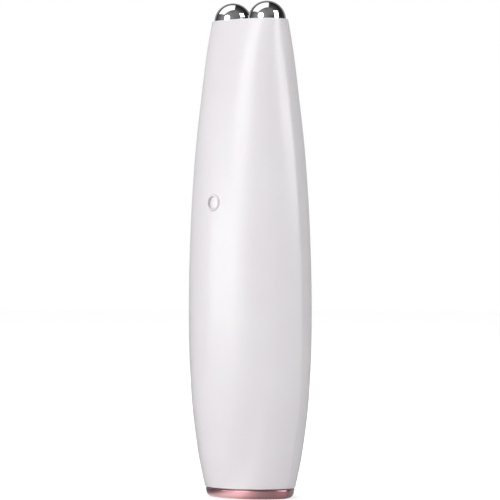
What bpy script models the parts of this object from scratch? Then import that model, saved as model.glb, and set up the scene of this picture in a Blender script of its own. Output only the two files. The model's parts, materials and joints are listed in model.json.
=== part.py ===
"""A microcurrent face lift pen, built from its separate pieces.

Metres, +Z up, origin at the middle of the base.  The button is on the front, -Y, and the two metal
balls stand side by side along X.
"""
import math

import bmesh
import bpy
from mathutils import Matrix, Vector

# Body form: each face is a superellipse arc, and the two faces meet in a soft crease on both sides.
# The columns are height, how far the width and the depth swell from the rim's to the belly's, crease
# drop (of the half depth) and fullness power.
RIM_HEIGHT = 0.1257
BODY_HALF_WIDTH = 0.0190
BODY_HALF_DEPTH = 0.0143
BODY_STATION_SHARES = (
    (0.000, 0.211, 0.457, 0.26, 2.03),
    (0.022, 0.302, 0.533, 0.27, 2.03),
    (0.095, 0.597, 0.751, 0.31, 2.04),
    (0.215, 0.911, 0.918, 0.33, 2.05),
    (0.375, 1.000, 1.000, 0.31, 2.06),
    (0.557, 0.896, 0.962, 0.27, 2.07),
    (0.716, 0.667, 0.820, 0.23, 2.10),
    (0.851, 0.357, 0.551, 0.18, 2.22),
    (0.939, 0.139, 0.289, 0.12, 2.42),
    (1.000, 0.000, 0.000, 0.07, 2.60),
)
FACE_STEPS = 18
OUTER_RINGS = 21
INNER_RINGS = 10

# Housing
SEAM_HEIGHT = 0.0027
SEAM_GAP = 0.0002
SHELL_WALL = 0.0016
RIM_LIP = 0.0003
RIM_SIDE_MARGIN = 0.00045
RIM_FACE_MARGIN = 0.0015
LIP_TAPER = 0.0110
LIP_RINGS = 5
LAP_DEPTH = 0.0008
LAP_CLEARANCE = 0.0001
LAP_TOP_CLEARANCE = 0.0020
SEAT_GAP = 0.0001
FIT_CLEARANCE = 0.00015
CUT_OVERRUN = 0.0020
TINY_MERGE = 0.000005

# Base ring
RING_SHADOW_INSET = 0.00010
BASE_EDGE_RADIUS = 0.0010
BASE_EDGE_STEPS = 4
BASE_FLOOR = 0.0015
SPIGOT_HEIGHT = 0.0042
SPIGOT_WALL = 0.0011
GROOVE_DEPTH = 0.0005
GROOVE_HEIGHT = 0.0011
GROOVE_RISE = 0.0018

# Electrodes
BALL_RADIUS = 0.0050
BALL_SPACING = 0.0125
BALL_DROP = 0.0001
BALL_RINGS = 13
BALL_STEPS = 22
STUD_RADIUS = 0.0015
STUD_LENGTH = 0.0082
NUT_RADIUS = 0.0031
NUT_HEIGHT = 0.0022
TERMINAL_THICKNESS = 0.0005
TERMINAL_RADIUS = 0.0027
TERMINAL_TAIL_WIDTH = 0.0018
TERMINAL_TAIL_LENGTH = 0.0020
SEAL_RADIUS = 0.00052
SEAL_SIDES = 6
SEAL_SEAT_DEPTH = 0.0010

# Electrode carrier
CARRIER_SINK = 0.0008
CARRIER_HEIGHT = 0.0085
CARRIER_RINGS = 4
POCKET_CLEARANCE = 0.00015
POCKET_RINGS = 5
TONGUE_WIDTH = 0.0080
TONGUE_LENGTH = 0.0092
TONGUE_THICKNESS = 0.0014
TONGUE_RADIUS = 0.0015

# Chassis
CHASSIS_REAR_Y = -0.0027
CHASSIS_THICKNESS = 0.0014
CHASSIS_BOTTOM = 0.0080
CHASSIS_TOP_GAP = 0.0044
CHASSIS_SIDE_GAP = 0.0003
CHASSIS_FOOT_SHARE = 0.8
CHASSIS_FOOT_TOP = 0.0150
CHASSIS_NECK_LENGTH = 0.0090
CHASSIS_SHOULDER_LENGTH = 0.0070
CHASSIS_CORNER = 0.0015
CORNER_STEPS = 4
CRADLE_WALL = 0.0012
CRADLE_DEPTH = 0.0060
CELL_STOP_SHARE = 0.6
WIRE_WINDOW_WIDTH = 0.0090
WIRE_WINDOW_HEIGHT = 0.0040
WIRE_WINDOW_Z = 0.0210
WIRE_HOLE_RADIUS = 0.0010
WIRE_HOLE_PITCH = 0.0026
BOSS_RADIUS = 0.0020
BOSS_CELL_DROP = 0.0050
BOSS_MOTOR_RISE = 0.0060
BOSS_START_Y = 0.0003
BOSS_SIDES = 12

# Circuit board
BOARD_STANDOFF = 0.0005
BOARD_THICKNESS = 0.0010
BOARD_SIDE_GAP = 0.0016
BOARD_BOTTOM = 0.0240
BOARD_TOP_DROP = 0.0085
BOARD_CORNER = 0.0012
BOARD_SCREW_EDGE = 0.0018
BOARD_SCREW_INSET = 0.0055
CHIP_WIDTH = 0.0050
CHIP_HEIGHT = 0.0009
CHIP_Z = 0.0600
COIL_RADIUS = 0.0030
COIL_HEIGHT = 0.0028
COIL_PROFILE_SHARES = ((0.0, 1.0), (1.0, 1.0), (1.0, 0.8), (0.8, 0.72), (0.8, 0.28), (1.0, 0.2), (1.0, 0.0),
                       (0.0, 0.0))
COIL_Z = 0.0480
CAPACITOR_LENGTH = 0.0032
CAPACITOR_WIDTH = 0.0016
CAPACITOR_HEIGHT = 0.0014
CAPACITOR_Z = 0.0370
CAPACITOR_PITCH = 0.0036
CAPACITOR_COUNT = 3
COMPONENT_BEVEL = 0.00015

# Power button and its switch
BUTTON_Z = 0.0774
BUTTON_RADIUS = 0.00218
BUTTON_RISE = 0.00055
BUTTON_RIM = 0.00058
BUTTON_DISH = 0.00040
BUTTON_EDGE = 0.00018
BUTTON_RIM_STEPS = 7
BUTTON_CLEARANCE = 0.00015
BUTTON_TRAVEL = 0.0004
FLANGE_RADIUS = 0.0032
FLANGE_THICKNESS = 0.0008
STEM_RADIUS = 0.0012
LANDING_RISE = 0.0006
LANDING_RADIUS = 0.0049
RETAINER_WALL = 0.0009
RETAINER_FLOOR = 0.0007
SWITCH_WIDTH = 0.0060
SWITCH_HEIGHT = 0.0030
SWITCH_BEVEL = 0.0004
PLUNGER_RADIUS = 0.0011
PLUNGER_REACH = 0.0010
PLUNGER_BURIED = 0.0012
PLUNGER_SLACK = 0.0006

# Battery
CELL_RADIUS = 0.0070
CELL_BOTTOM = 0.0250
CELL_LENGTH = 0.0485
CELL_CLEARANCE = 0.0003
CELL_EDGE = 0.0006
CELL_TIP_RADIUS = 0.0022
CELL_TIP_HEIGHT = 0.0012
STRAP_WIDTH = 0.0080
STRAP_THICKNESS = 0.0004
STRAP_Z = 0.0500
STRAP_STEPS = 14

# Vibration motor
MOTOR_RADIUS = 0.0035
MOTOR_LENGTH = 0.0120
MOTOR_RISE = 0.0105
MOTOR_EDGE = 0.0004
BOOT_WALL = 0.0007
BOOT_LENGTH = 0.0095
SHAFT_RADIUS = 0.0005
SHAFT_REACH = 0.0058
SHAFT_BURIED = 0.0030
WEIGHT_RADIUS = 0.0028
WEIGHT_HEIGHT = 0.0040
WEIGHT_GAP = 0.0008
HUB_RADIUS = 0.0012

# Charging socket and its board
SOCKET_WIDTH = 0.00894
SOCKET_DEPTH = 0.00326
SOCKET_WALL = 0.00030
SOCKET_LENGTH = 0.0073
SOCKET_BOTTOM = 0.0005
SOCKET_CLEARANCE = 0.00015
SOCKET_CORNER_SHARE = 0.95
TONGUE_PLATE_WIDTH = 0.0066
TONGUE_PLATE_DEPTH = 0.0007
TONGUE_PLATE_SINK = 0.0008
SOCKET_BACK = 0.0010
CHARGE_BOARD_HALF_WIDTH = 0.0078
CHARGE_BOARD_BOTTOM = 0.0032
CHARGE_BOARD_TOP = 0.0168
CHARGE_BOARD_THICKNESS = 0.0008
CHARGE_POST_RADIUS = 0.0015
CHARGE_POST_X = 0.0060
CHARGE_POST_Z = 0.0135

# Screws
SCREW_RADIUS = 0.0008
SCREW_CLEARANCE = 0.0001
SCREW_HEAD_RADIUS = 0.0015
SCREW_HEAD_HEIGHT = 0.0009
SCREW_CROWN_SHARE = 0.6
SCREW_SIDE_SHARE = 0.5
SCREW_SIDE_GAP = 0.0003
SCREW_BITE = 0.0035
SHORT_SCREW_BITE = 0.0016
SCREW_STEPS = 8

# Wires
WIRE_RADIUS = 0.0004
WIRE_END_GAP = 0.00015
WIRE_STEPS = 2
WIRE_SIDES = 2
TAIL_WIRE_SHARE = 0.7
CELL_WIRE_SHARES = (0.35, 0.8)
MOTOR_WIRE_SHARES = (0.3, 0.8)

# Round pieces
ROUND_STEPS = 16
LARGE_ROUND_STEPS = 20


def named_collection(name):
    collection = bpy.data.collections.new(name)
    bpy.context.scene.collection.children.link(collection)
    return collection


def clear_scene():
    for item in list(bpy.data.objects):
        bpy.data.objects.remove(item, do_unlink=True)


clear_scene()
PEN = named_collection("microcurrent_pen")
CUTTERS = named_collection("cutters")
FINISHES = {}


def finish(name, colour, roughness, metallic):
    """A plain Principled material, kept by name so that pieces can share it."""
    material = bpy.data.materials.new(name)
    material.use_nodes = True
    shader = material.node_tree.nodes["Principled BSDF"]
    shader.inputs["Base Color"].default_value = (*colour, 1.0)
    shader.inputs["Roughness"].default_value = roughness
    shader.inputs["Metallic"].default_value = metallic
    FINISHES[name] = material


finish("pearl_white", (0.86, 0.83, 0.86), 0.28, 0.0)
finish("chrome", (0.80, 0.80, 0.82), 0.06, 1.0)
finish("rose_gold", (0.74, 0.50, 0.48), 0.22, 1.0)
finish("white_button", (0.88, 0.86, 0.88), 0.30, 0.0)
finish("natural_plastic", (0.72, 0.73, 0.72), 0.50, 0.0)
finish("black_plastic", (0.03, 0.03, 0.035), 0.45, 0.0)
finish("grey_rubber", (0.25, 0.25, 0.26), 0.80, 0.0)
finish("board_green", (0.02, 0.18, 0.09), 0.40, 0.0)
finish("ferrite", (0.09, 0.09, 0.09), 0.60, 0.0)
finish("capacitor_tan", (0.55, 0.42, 0.28), 0.50, 0.0)
finish("cell_wrap", (0.05, 0.25, 0.45), 0.35, 0.0)
finish("steel", (0.62, 0.62, 0.63), 0.30, 1.0)
finish("brass", (0.75, 0.60, 0.30), 0.30, 1.0)
finish("red_wire", (0.60, 0.03, 0.03), 0.50, 0.0)
finish("black_wire", (0.03, 0.03, 0.03), 0.50, 0.0)
finish("white_wire", (0.80, 0.80, 0.78), 0.50, 0.0)


def add_object(name, mesh, material=None):
    """A sub-part when a material is given, a hidden cutter when none is."""
    item = bpy.data.objects.new(name, mesh)
    if material is None:
        CUTTERS.objects.link(item)
        item.hide_render = True
        item.display_type = "WIRE"
        return item
    PEN.objects.link(item)
    mesh.materials.clear()
    mesh.materials.append(FINISHES[material])
    return item


def mesh_from(name, form):
    bmesh.ops.recalc_face_normals(form, faces=form.faces)
    mesh = bpy.data.meshes.new(name)
    form.to_mesh(mesh)
    form.free()
    return mesh


def smooth(item, angle=math.radians(35)):
    item.data.shade_smooth()
    item.data.set_sharp_from_angle(angle=angle)
    return item


def box(name, low, high, material=None):
    form = bmesh.new()
    bmesh.ops.create_cube(form, size=1.0)
    size = Vector(high) - Vector(low)
    middle = (Vector(high) + Vector(low)) / 2
    bmesh.ops.scale(form, vec=size, verts=form.verts)
    bmesh.ops.translate(form, vec=middle, verts=form.verts)
    return add_object(name, mesh_from(name, form), material)


def rod(name, radius, start, end, material=None, sides=ROUND_STEPS):
    """A cylinder from start to end."""
    along = Vector(end) - Vector(start)
    turn = Vector((0, 0, 1)).rotation_difference(along).to_matrix().to_4x4()
    place = Matrix.Translation((Vector(start) + Vector(end)) / 2) @ turn
    form = bmesh.new()
    bmesh.ops.create_cone(form, cap_ends=True, segments=sides, radius1=radius, radius2=radius,
                          depth=along.length, matrix=place)
    return add_object(name, mesh_from(name, form), material)


def turned(name, profile, material=None, steps=ROUND_STEPS, place=Matrix.Identity(4)):
    """A profile of (radius, height) points, top to bottom, turned about Z by a Screw modifier."""
    mesh = bpy.data.meshes.new(name)
    points = [(radius, 0.0, height) for radius, height in profile]
    edges = [(index, index + 1) for index in range(len(points) - 1)]
    if profile[0][0] > 0 and profile[-1][0] > 0:
        edges.append((len(points) - 1, 0))
    mesh.from_pydata(points, edges, [])
    item = add_object(name, mesh, material)
    screw = item.modifiers.new("turn", "SCREW")
    screw.axis = "Z"
    screw.steps = steps
    screw.render_steps = steps
    screw.use_merge_vertices = True
    screw.merge_threshold = TINY_MERGE
    screw.use_smooth_shade = True
    item.matrix_world = place
    return item


def evaluated_mesh(item):
    """The item's mesh with its modifiers applied, doubled points merged."""
    graph = bpy.context.evaluated_depsgraph_get()
    mesh = bpy.data.meshes.new_from_object(item.evaluated_get(graph))
    form = bmesh.new()
    form.from_mesh(mesh)
    bmesh.ops.remove_doubles(form, verts=form.verts, dist=TINY_MERGE)
    bmesh.ops.recalc_face_normals(form, faces=form.faces)
    form.to_mesh(mesh)
    form.free()
    return mesh


def as_mesh(item, material=None):
    """Replaces a curve object by the mesh that it makes."""
    mesh = evaluated_mesh(item)
    name = item.name
    place = item.matrix_world.copy()
    curve = item.data
    bpy.data.objects.remove(item, do_unlink=True)
    bpy.data.curves.remove(curve)
    made = add_object(name, mesh, material)
    made.matrix_world = place
    return made


def boolean(item, other, operation):
    step = item.modifiers.new(operation.lower() + "_" + other.name, "BOOLEAN")
    step.operation = operation
    step.object = other
    step.solver = "EXACT"
    return item


def cut(item, *cutters):
    for cutter in cutters:
        boolean(item, cutter, "DIFFERENCE")
    return item


def join(item, *others):
    for other in others:
        boolean(item, other, "UNION")
    return item


def bevel(item, width, segments=2, angle=math.radians(40)):
    step = item.modifiers.new("edge", "BEVEL")
    step.width = width
    step.segments = segments
    step.limit_method = "ANGLE"
    step.angle_limit = angle
    return item


def rounded(points, radius, steps=CORNER_STEPS):
    """The outline with each corner replaced by an arc."""
    outline = []
    count = len(points)
    for index in range(count):
        corner = Vector(points[index])
        before = (Vector(points[index - 1]) - corner).normalized()
        after = (Vector(points[(index + 1) % count]) - corner).normalized()
        half = before.angle(after) / 2
        reach = radius / math.tan(half)
        centre = corner + (before + after).normalized() * radius / math.sin(half)
        first = corner + before * reach - centre
        last = corner + after * reach - centre
        start = math.atan2(first.y, first.x)
        sweep = -first.angle_signed(last)
        for step in range(steps + 1):
            turn = start + sweep * step / steps
            outline.append(centre + radius * Vector((math.cos(turn), math.sin(turn))))
    return outline


def rectangle(half_width, low, high):
    return [(half_width, low), (half_width, high), (-half_width, high), (-half_width, low)]


def plate(name, outlines, back, front, material=None):
    """Flat outlines in X and Z, thickened between two depths; the second outline on is a hole."""
    curve = bpy.data.curves.new(name, "CURVE")
    curve.dimensions = "2D"
    curve.fill_mode = "BOTH"
    curve.extrude = abs(back - front) / 2
    for outline in outlines:
        spline = curve.splines.new("POLY")
        spline.points.add(len(outline) - 1)
        for point, (x, z) in zip(spline.points, outline):
            point.co = (x, z, 0.0, 1.0)
        spline.use_cyclic_u = True
    item = bpy.data.objects.new(name, curve)
    PEN.objects.link(item)
    upright = Matrix.Rotation(math.radians(90), 4, "X")
    item.matrix_world = Matrix.Translation((0, (back + front) / 2, 0)) @ upright
    bpy.context.view_layer.update()
    return as_mesh(item, material)


def circle(x, z, radius, steps=ROUND_STEPS):
    turns = [math.tau * step / steps for step in range(steps)]
    return [(x + radius * math.cos(turn), z + radius * math.sin(turn)) for turn in turns]


def smooth_column(shares, column, share):
    """Reads one column of the station table at any height, on a smooth curve through the stations."""
    last = len(shares) - 1
    index = max(0, min(last - 1, sum(1 for row in shares if row[0] <= share) - 1))
    low, high = shares[index], shares[index + 1]
    width = high[0] - low[0]

    def slope(at):
        before, after = shares[max(at - 1, 0)], shares[min(at + 1, last)]
        return (after[column] - before[column]) / (after[0] - before[0])

    t = (share - low[0]) / width
    start = (2 * t ** 3 - 3 * t ** 2 + 1) * low[column] + (t ** 3 - 2 * t ** 2 + t) * width * slope(index)
    end = (3 * t ** 2 - 2 * t ** 3) * high[column] + (t ** 3 - t ** 2) * width * slope(index + 1)
    return start + end


def body_size(height):
    """Half width, half depth, crease drop and fullness power of the body at a height."""
    share = min(max(height / RIM_HEIGHT, 0.0), 1.0)
    wide, deep, drop, power = [smooth_column(BODY_STATION_SHARES, column, share) for column in (1, 2, 3, 4)]
    half_width = RIM_HALF_WIDTH + (BODY_HALF_WIDTH - RIM_HALF_WIDTH) * wide
    half_depth = RIM_HALF_DEPTH + (BODY_HALF_DEPTH - RIM_HALF_DEPTH) * deep
    return half_width, half_depth, half_depth * drop, power


def full_arc(height, inset):
    """Half width and depth of the whole superellipse that a face is a part of, its drop and its power."""
    half_width, half_depth, drop, power = body_size(height)
    full_depth = half_depth - inset + drop
    full_width = (half_width - inset) / (1 - (drop / full_depth) ** power) ** (1 / power)
    return full_width, full_depth, drop, power


def face_depth(height, x, inset=0.0):
    """How far the front or rear face stands from the crease plane at a place across the body."""
    full_width, full_depth, drop, power = full_arc(height, inset)
    lift = max(1 - abs(x / full_width) ** power, 0.0)
    return max(full_depth * lift ** (1 / power) - drop, 0.0)


def face_reach(height, depth, inset):
    """How far across the body a face still stands at a depth from the crease plane."""
    full_width, full_depth, drop, power = full_arc(height, inset)
    return full_width * (1 - ((depth + drop) / full_depth) ** power) ** (1 / power)


def body_ring(height, inset):
    """The body's outline at a height, drawn in by the inset, from the +X crease over the rear face."""
    half_width = body_size(height)[0] - inset
    ring = []
    for side in (1, -1):
        for step in range(FACE_STEPS):
            x = side * half_width * math.cos(math.pi * step / FACE_STEPS)
            depth = 0.0 if step == 0 else face_depth(height, x, inset)
            ring.append(Vector((x, side * depth, height)))
    return ring


def loft(name, levels, material=None):
    """A closed solid through outlines; a level is a height, an inset and, if another, the form's height."""
    form = bmesh.new()
    rings = []
    for level in levels:
        outline = body_ring(level[-1] if len(level) == 3 else level[0], level[1])
        rings.append([form.verts.new((point.x, point.y, level[0])) for point in outline])
    count = len(rings[0])
    for lower, upper in zip(rings, rings[1:]):
        for index in range(count):
            after = (index + 1) % count
            form.faces.new((lower[index], lower[after], upper[after], upper[index]))
    form.faces.new(list(reversed(rings[0])))
    form.faces.new(rings[-1])
    return add_object(name, mesh_from(name, form), material)


def spread(low, high, count):
    return [low + (high - low) * step / (count - 1) for step in range(count)]


def wall_at(height):
    """The housing wall, which thins towards the rim to leave room for the balls."""
    share = min(max((RIM_HEIGHT - height) / LIP_TAPER, 0.0), 1.0)
    return RIM_LIP + (SHELL_WALL - RIM_LIP) * math.sin(share * math.pi / 2)


# Places that several pieces share
BALL_X = BALL_SPACING / 2
RIM_HALF_WIDTH = BALL_X + BALL_RADIUS + RIM_SIDE_MARGIN
RIM_HALF_DEPTH = BALL_RADIUS + RIM_FACE_MARGIN
SHELL_BOTTOM = SEAM_HEIGHT
RING_TOP = SEAM_HEIGHT - SEAM_GAP
SPIGOT_INSET = SHELL_WALL + FIT_CLEARANCE
SPIGOT_TOP = SHELL_BOTTOM + SPIGOT_HEIGHT
GROOVE_INSET = SPIGOT_INSET + GROOVE_DEPTH
GROOVE_LOW = SHELL_BOTTOM + GROOVE_RISE
GROOVE_HIGH = GROOVE_LOW + GROOVE_HEIGHT
BALL_Z = RIM_HEIGHT - BALL_DROP
CARRIER_TOP = RIM_HEIGHT - CARRIER_SINK
CARRIER_BOTTOM = CARRIER_TOP - CARRIER_HEIGHT
CELL_TOP = CELL_BOTTOM + CELL_LENGTH
MOTOR_BOTTOM = CELL_TOP + MOTOR_RISE
MOTOR_TOP = MOTOR_BOTTOM + MOTOR_LENGTH
CHASSIS_FRONT_Y = CHASSIS_REAR_Y - CHASSIS_THICKNESS
CHASSIS_TOP = CARRIER_BOTTOM - CHASSIS_TOP_GAP
CHASSIS_NECK = CHASSIS_TOP - CHASSIS_NECK_LENGTH
CHASSIS_SHOULDER = CHASSIS_NECK - CHASSIS_SHOULDER_LENGTH
CHASSIS_HALF_WIDTH = face_reach(CHASSIS_SHOULDER, -CHASSIS_FRONT_Y, SHELL_WALL) - CHASSIS_SIDE_GAP
CHASSIS_FOOT_HALF_WIDTH = CHASSIS_HALF_WIDTH * CHASSIS_FOOT_SHARE
CHASSIS_NECK_HALF_WIDTH = TONGUE_WIDTH / 2 + CRADLE_WALL
SCREW_HOLE = SCREW_RADIUS + SCREW_CLEARANCE
SCREW_FRONT_Y = CHASSIS_FRONT_Y - SEAT_GAP - SCREW_HEAD_HEIGHT


def boss_place(side, height):
    """A boss stands as far out as its screw's head has room in the front shell."""
    reach = face_reach(height, -SCREW_FRONT_Y, SHELL_WALL)
    return side * (reach - SCREW_SIDE_GAP - SCREW_HEAD_RADIUS), height


BOSS_PLACES = [boss_place(side, height) for side in (-1, 1)
               for height in (CELL_BOTTOM - BOSS_CELL_DROP, MOTOR_BOTTOM + BOSS_MOTOR_RISE)]
BOARD_TOP = CHASSIS_TOP - BOARD_TOP_DROP
BOARD_HALF_WIDTH = BOSS_PLACES[-1][0] - SCREW_HEAD_RADIUS - BOARD_SIDE_GAP
BOARD_SCREW_X = BOARD_HALF_WIDTH - BOARD_SCREW_EDGE
BOARD_BACK_Y = CHASSIS_FRONT_Y - BOARD_STANDOFF
BOARD_FRONT_Y = BOARD_BACK_Y - BOARD_THICKNESS
SWITCH_BACK_Y = BOARD_FRONT_Y - SEAT_GAP
SWITCH_FRONT_Y = SWITCH_BACK_Y - SWITCH_HEIGHT
PLUNGER_TIP_Y = SWITCH_FRONT_Y - PLUNGER_REACH
STEM_TIP_Y = PLUNGER_TIP_Y - SEAT_GAP
BODY_FRONT_Y = -face_depth(BUTTON_Z, 0.0)
LANDING_Y = BODY_FRONT_Y + SHELL_WALL + LANDING_RISE
FLANGE_FRONT_Y = LANDING_Y + SEAT_GAP
FLANGE_BACK_Y = FLANGE_FRONT_Y + FLANGE_THICKNESS
BUTTON_TOP_Y = BODY_FRONT_Y - BUTTON_RISE
CELL_Y = CHASSIS_REAR_Y + CELL_CLEARANCE + CELL_RADIUS
MOTOR_Y = CHASSIS_REAR_Y + CELL_CLEARANCE + BOOT_WALL + SEAT_GAP + MOTOR_RADIUS
CHARGE_BOARD_FRONT_Y = SOCKET_DEPTH / 2 + SEAT_GAP
CHARGE_BOARD_BACK_Y = CHARGE_BOARD_FRONT_Y + CHARGE_BOARD_THICKNESS
BOARD_SCREW_PLACES = [(side * BOARD_SCREW_X, height) for side in (-1, 1)
                      for height in (BOARD_BOTTOM + BOARD_SCREW_INSET, BOARD_TOP - BOARD_SCREW_INSET)]
TONGUE_BOTTOM = CARRIER_BOTTOM - TONGUE_LENGTH
TONGUE_BACK_Y = CHASSIS_FRONT_Y - SEAT_GAP
TONGUE_FRONT_Y = TONGUE_BACK_Y - TONGUE_THICKNESS
TONGUE_SCREW_Z = (TONGUE_BOTTOM + CHASSIS_TOP) / 2
TONGUE_SCREW_X = TONGUE_WIDTH / 4
CRADLE_OUTER = CELL_RADIUS + CELL_CLEARANCE + CRADLE_WALL
WIRE_HOLE_X = (CRADLE_OUTER + CHASSIS_HALF_WIDTH) / 2
WIRE_HOLES = [(WIRE_HOLE_X, CELL_BOTTOM - WIRE_HOLE_RADIUS), (WIRE_HOLE_X, CELL_TOP + WIRE_HOLE_RADIUS),
              (-WIRE_HOLE_X, MOTOR_BOTTOM - 2 * WIRE_HOLE_RADIUS),
              (-WIRE_HOLE_X, MOTOR_BOTTOM - 2 * WIRE_HOLE_RADIUS - WIRE_HOLE_PITCH)]


def far_side(sign):
    """A depth past the body, for cutters that run right through."""
    return sign * (BODY_HALF_DEPTH + CUT_OVERRUN)


# Housing shells
def outer_form(name, material):
    heights = spread(SHELL_BOTTOM, RIM_HEIGHT, OUTER_RINGS)
    return loft(name, [(height, 0.0) for height in heights], material)


def cavity(name):
    heights = spread(SHELL_BOTTOM, RIM_HEIGHT - LIP_TAPER, INNER_RINGS)[1:]
    heights += spread(RIM_HEIGHT - LIP_TAPER, RIM_HEIGHT, LIP_RINGS)[1:-1]
    levels = [(SHELL_BOTTOM - CUT_OVERRUN, SHELL_WALL, SHELL_BOTTOM)]
    levels += [(height, wall_at(height)) for height in heights]
    levels.append((RIM_HEIGHT + CUT_OVERRUN, RIM_LIP, RIM_HEIGHT))
    return loft(name, levels)


def lap_core(name, inset):
    """The body form at the middle of the wall, up to where the wall starts to thin."""
    top = RIM_HEIGHT - LIP_TAPER - LAP_TOP_CLEARANCE
    heights = spread(SHELL_BOTTOM, top, INNER_RINGS)
    levels = [(SHELL_BOTTOM - CUT_OVERRUN, inset, SHELL_BOTTOM)]
    levels += [(height, inset) for height in heights[1:]]
    return loft(name, levels)


def half_space(name, near, sign):
    """A block that covers everything on one side of a depth."""
    reach = BODY_HALF_WIDTH + CUT_OVERRUN
    low_y, high_y = sorted((near, far_side(sign)))
    low = (-reach, low_y, SHELL_BOTTOM - CUT_OVERRUN)
    return box(name, low, (reach, high_y, RIM_HEIGHT + CUT_OVERRUN))


def make_front_shell():
    shell = outer_form("front_shell", "pearl_white")
    behind = half_space("behind_front_shell", 0.0, 1)
    cut(behind, lap_core("front_lap_core", SHELL_WALL / 2 + LAP_CLEARANCE))
    room = cavity("front_cavity")
    landing = rod("button_landing", LANDING_RADIUS, (0, far_side(-1), BUTTON_Z), (0, LANDING_Y, BUTTON_Z),
                  sides=LARGE_ROUND_STEPS)
    cut(room, landing)
    hole_radius = BUTTON_RADIUS + BUTTON_CLEARANCE
    hole = rod("button_hole", hole_radius, (0, far_side(-1), BUTTON_Z),
               (0, LANDING_Y + CUT_OVERRUN, BUTTON_Z), sides=LARGE_ROUND_STEPS)
    cut(shell, behind, half_space("past_front_lap", LAP_DEPTH, 1), room, hole)
    return smooth(shell)


def make_rear_shell():
    shell = outer_form("rear_shell", "pearl_white")
    relief = lap_core("rear_lap_core", SHELL_WALL / 2)
    boolean(relief, half_space("rear_lap_reach", LAP_DEPTH + LAP_CLEARANCE, -1), "INTERSECT")
    room = cavity("rear_cavity")
    for index, (x, z) in enumerate(BOSS_PLACES):
        cut(room, rod(f"rear_boss_{index}", BOSS_RADIUS, (x, BOSS_START_Y, z), (x, far_side(1), z),
                      sides=BOSS_SIDES))
    cut(shell, half_space("before_rear_shell", 0.0, -1), relief, room)
    for index, (x, z) in enumerate(BOSS_PLACES):
        deep = BOSS_START_Y + SCREW_BITE
        pilot = rod(f"rear_pilot_{index}", SCREW_HOLE, (x, BOSS_START_Y - CUT_OVERRUN, z), (x, deep, z),
                    sides=SCREW_STEPS)
        cut(shell, pilot)
    return smooth(shell)


# Rose-gold base ring with its floor and the spigot that grips both shells
def make_base_ring():
    levels = []
    for step in range(BASE_EDGE_STEPS + 1):
        turn = math.pi / 2 * step / BASE_EDGE_STEPS
        height = BASE_EDGE_RADIUS * (1 - math.cos(turn))
        inset = RING_SHADOW_INSET + BASE_EDGE_RADIUS * (1 - math.sin(turn))
        levels.append((height, inset))
    levels.append((RING_TOP, RING_SHADOW_INSET))
    spigot = ((RING_TOP, SPIGOT_INSET), (GROOVE_LOW, SPIGOT_INSET), (GROOVE_LOW, GROOVE_INSET),
              (GROOVE_HIGH, GROOVE_INSET), (GROOVE_HIGH, SPIGOT_INSET), (SPIGOT_TOP, SPIGOT_INSET))
    levels += [(height, inset, SHELL_BOTTOM) for height, inset in spigot]
    ring = loft("base_ring", levels, "rose_gold")
    inner_inset = SPIGOT_INSET + SPIGOT_WALL
    room = loft("base_room", [(BASE_FLOOR, inner_inset, SHELL_BOTTOM),
                              (SPIGOT_TOP + CUT_OVERRUN, inner_inset, SHELL_BOTTOM)])
    mouth = socket_block("base_mouth", SOCKET_CLEARANCE, -CUT_OVERRUN, BASE_FLOOR + CUT_OVERRUN)
    return smooth(cut(ring, room, mouth))


def make_base_seal():
    low, high = GROOVE_LOW + SEAT_GAP, GROOVE_HIGH - SEAT_GAP
    outer, inner = SPIGOT_INSET - SEAT_GAP, GROOVE_INSET - SEAT_GAP
    seal = loft("base_seal", [(low, outer, SHELL_BOTTOM), (high, outer, SHELL_BOTTOM)], "grey_rubber")
    bore = loft("base_seal_bore", [(low - CUT_OVERRUN, inner, SHELL_BOTTOM),
                                   (high + CUT_OVERRUN, inner, SHELL_BOTTOM)])
    return cut(seal, bore)


def socket_block(name, margin, low, high, material=None):
    """An upright block with the socket's rounded outline, wider all round by a margin."""
    half_width = SOCKET_WIDTH / 2 + margin
    half_depth = SOCKET_DEPTH / 2 + margin
    corner = half_depth * SOCKET_CORNER_SHARE
    outline = rounded(rectangle(half_width, -half_depth, half_depth), corner)
    form = bmesh.new()
    face = form.faces.new([form.verts.new((point.x, point.y, low)) for point in outline])
    top = bmesh.ops.extrude_face_region(form, geom=[face])["geom"]
    moved = [part for part in top if isinstance(part, bmesh.types.BMVert)]
    bmesh.ops.translate(form, vec=(0, 0, high - low), verts=moved)
    return add_object(name, mesh_from(name, form), material)


# Electrodes: two balls, each in one piece with its stud
def ball_profile():
    """Half outline of a ball and its stud, from the crown to the stud's end."""
    join_turn = math.pi - math.asin(STUD_RADIUS / BALL_RADIUS)
    points = [(BALL_RADIUS * math.sin(join_turn * step / BALL_RINGS),
               BALL_RADIUS * math.cos(join_turn * step / BALL_RINGS)) for step in range(BALL_RINGS + 1)]
    points[0] = (0.0, BALL_RADIUS)
    end = -BALL_RADIUS - STUD_LENGTH
    return points + [(STUD_RADIUS, end), (0.0, end)]


def make_electrode(name, x):
    electrode = turned(name, ball_profile(), "chrome", BALL_STEPS, Matrix.Translation((x, 0, BALL_Z)))
    return electrode


def placed_copies(names, mesh, places, material):
    """A sub-part for each name, all on one mesh, each at its own place."""
    for name, place in zip(names, places):
        add_object(name, mesh, material).matrix_world = place


def taken_mesh(item):
    """The item's finished mesh in its own frame; the item itself goes."""
    mesh = evaluated_mesh(item)
    bpy.data.objects.remove(item, do_unlink=True)
    return mesh


SEAL_SEAT_Z = BALL_Z - BALL_RADIUS - SEAL_SEAT_DEPTH
SEAL_RING_RADIUS = STUD_RADIUS + SEAT_GAP + SEAL_RADIUS
ELECTRODE_PLACES = [Matrix.Translation((side * BALL_X, 0, 0)) for side in (-1, 1)]
SIDE_NAMES = ("left", "right")
TERMINAL_TOP = CARRIER_BOTTOM - SEAT_GAP
NUT_TOP = TERMINAL_TOP - TERMINAL_THICKNESS - SEAT_GAP


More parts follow.
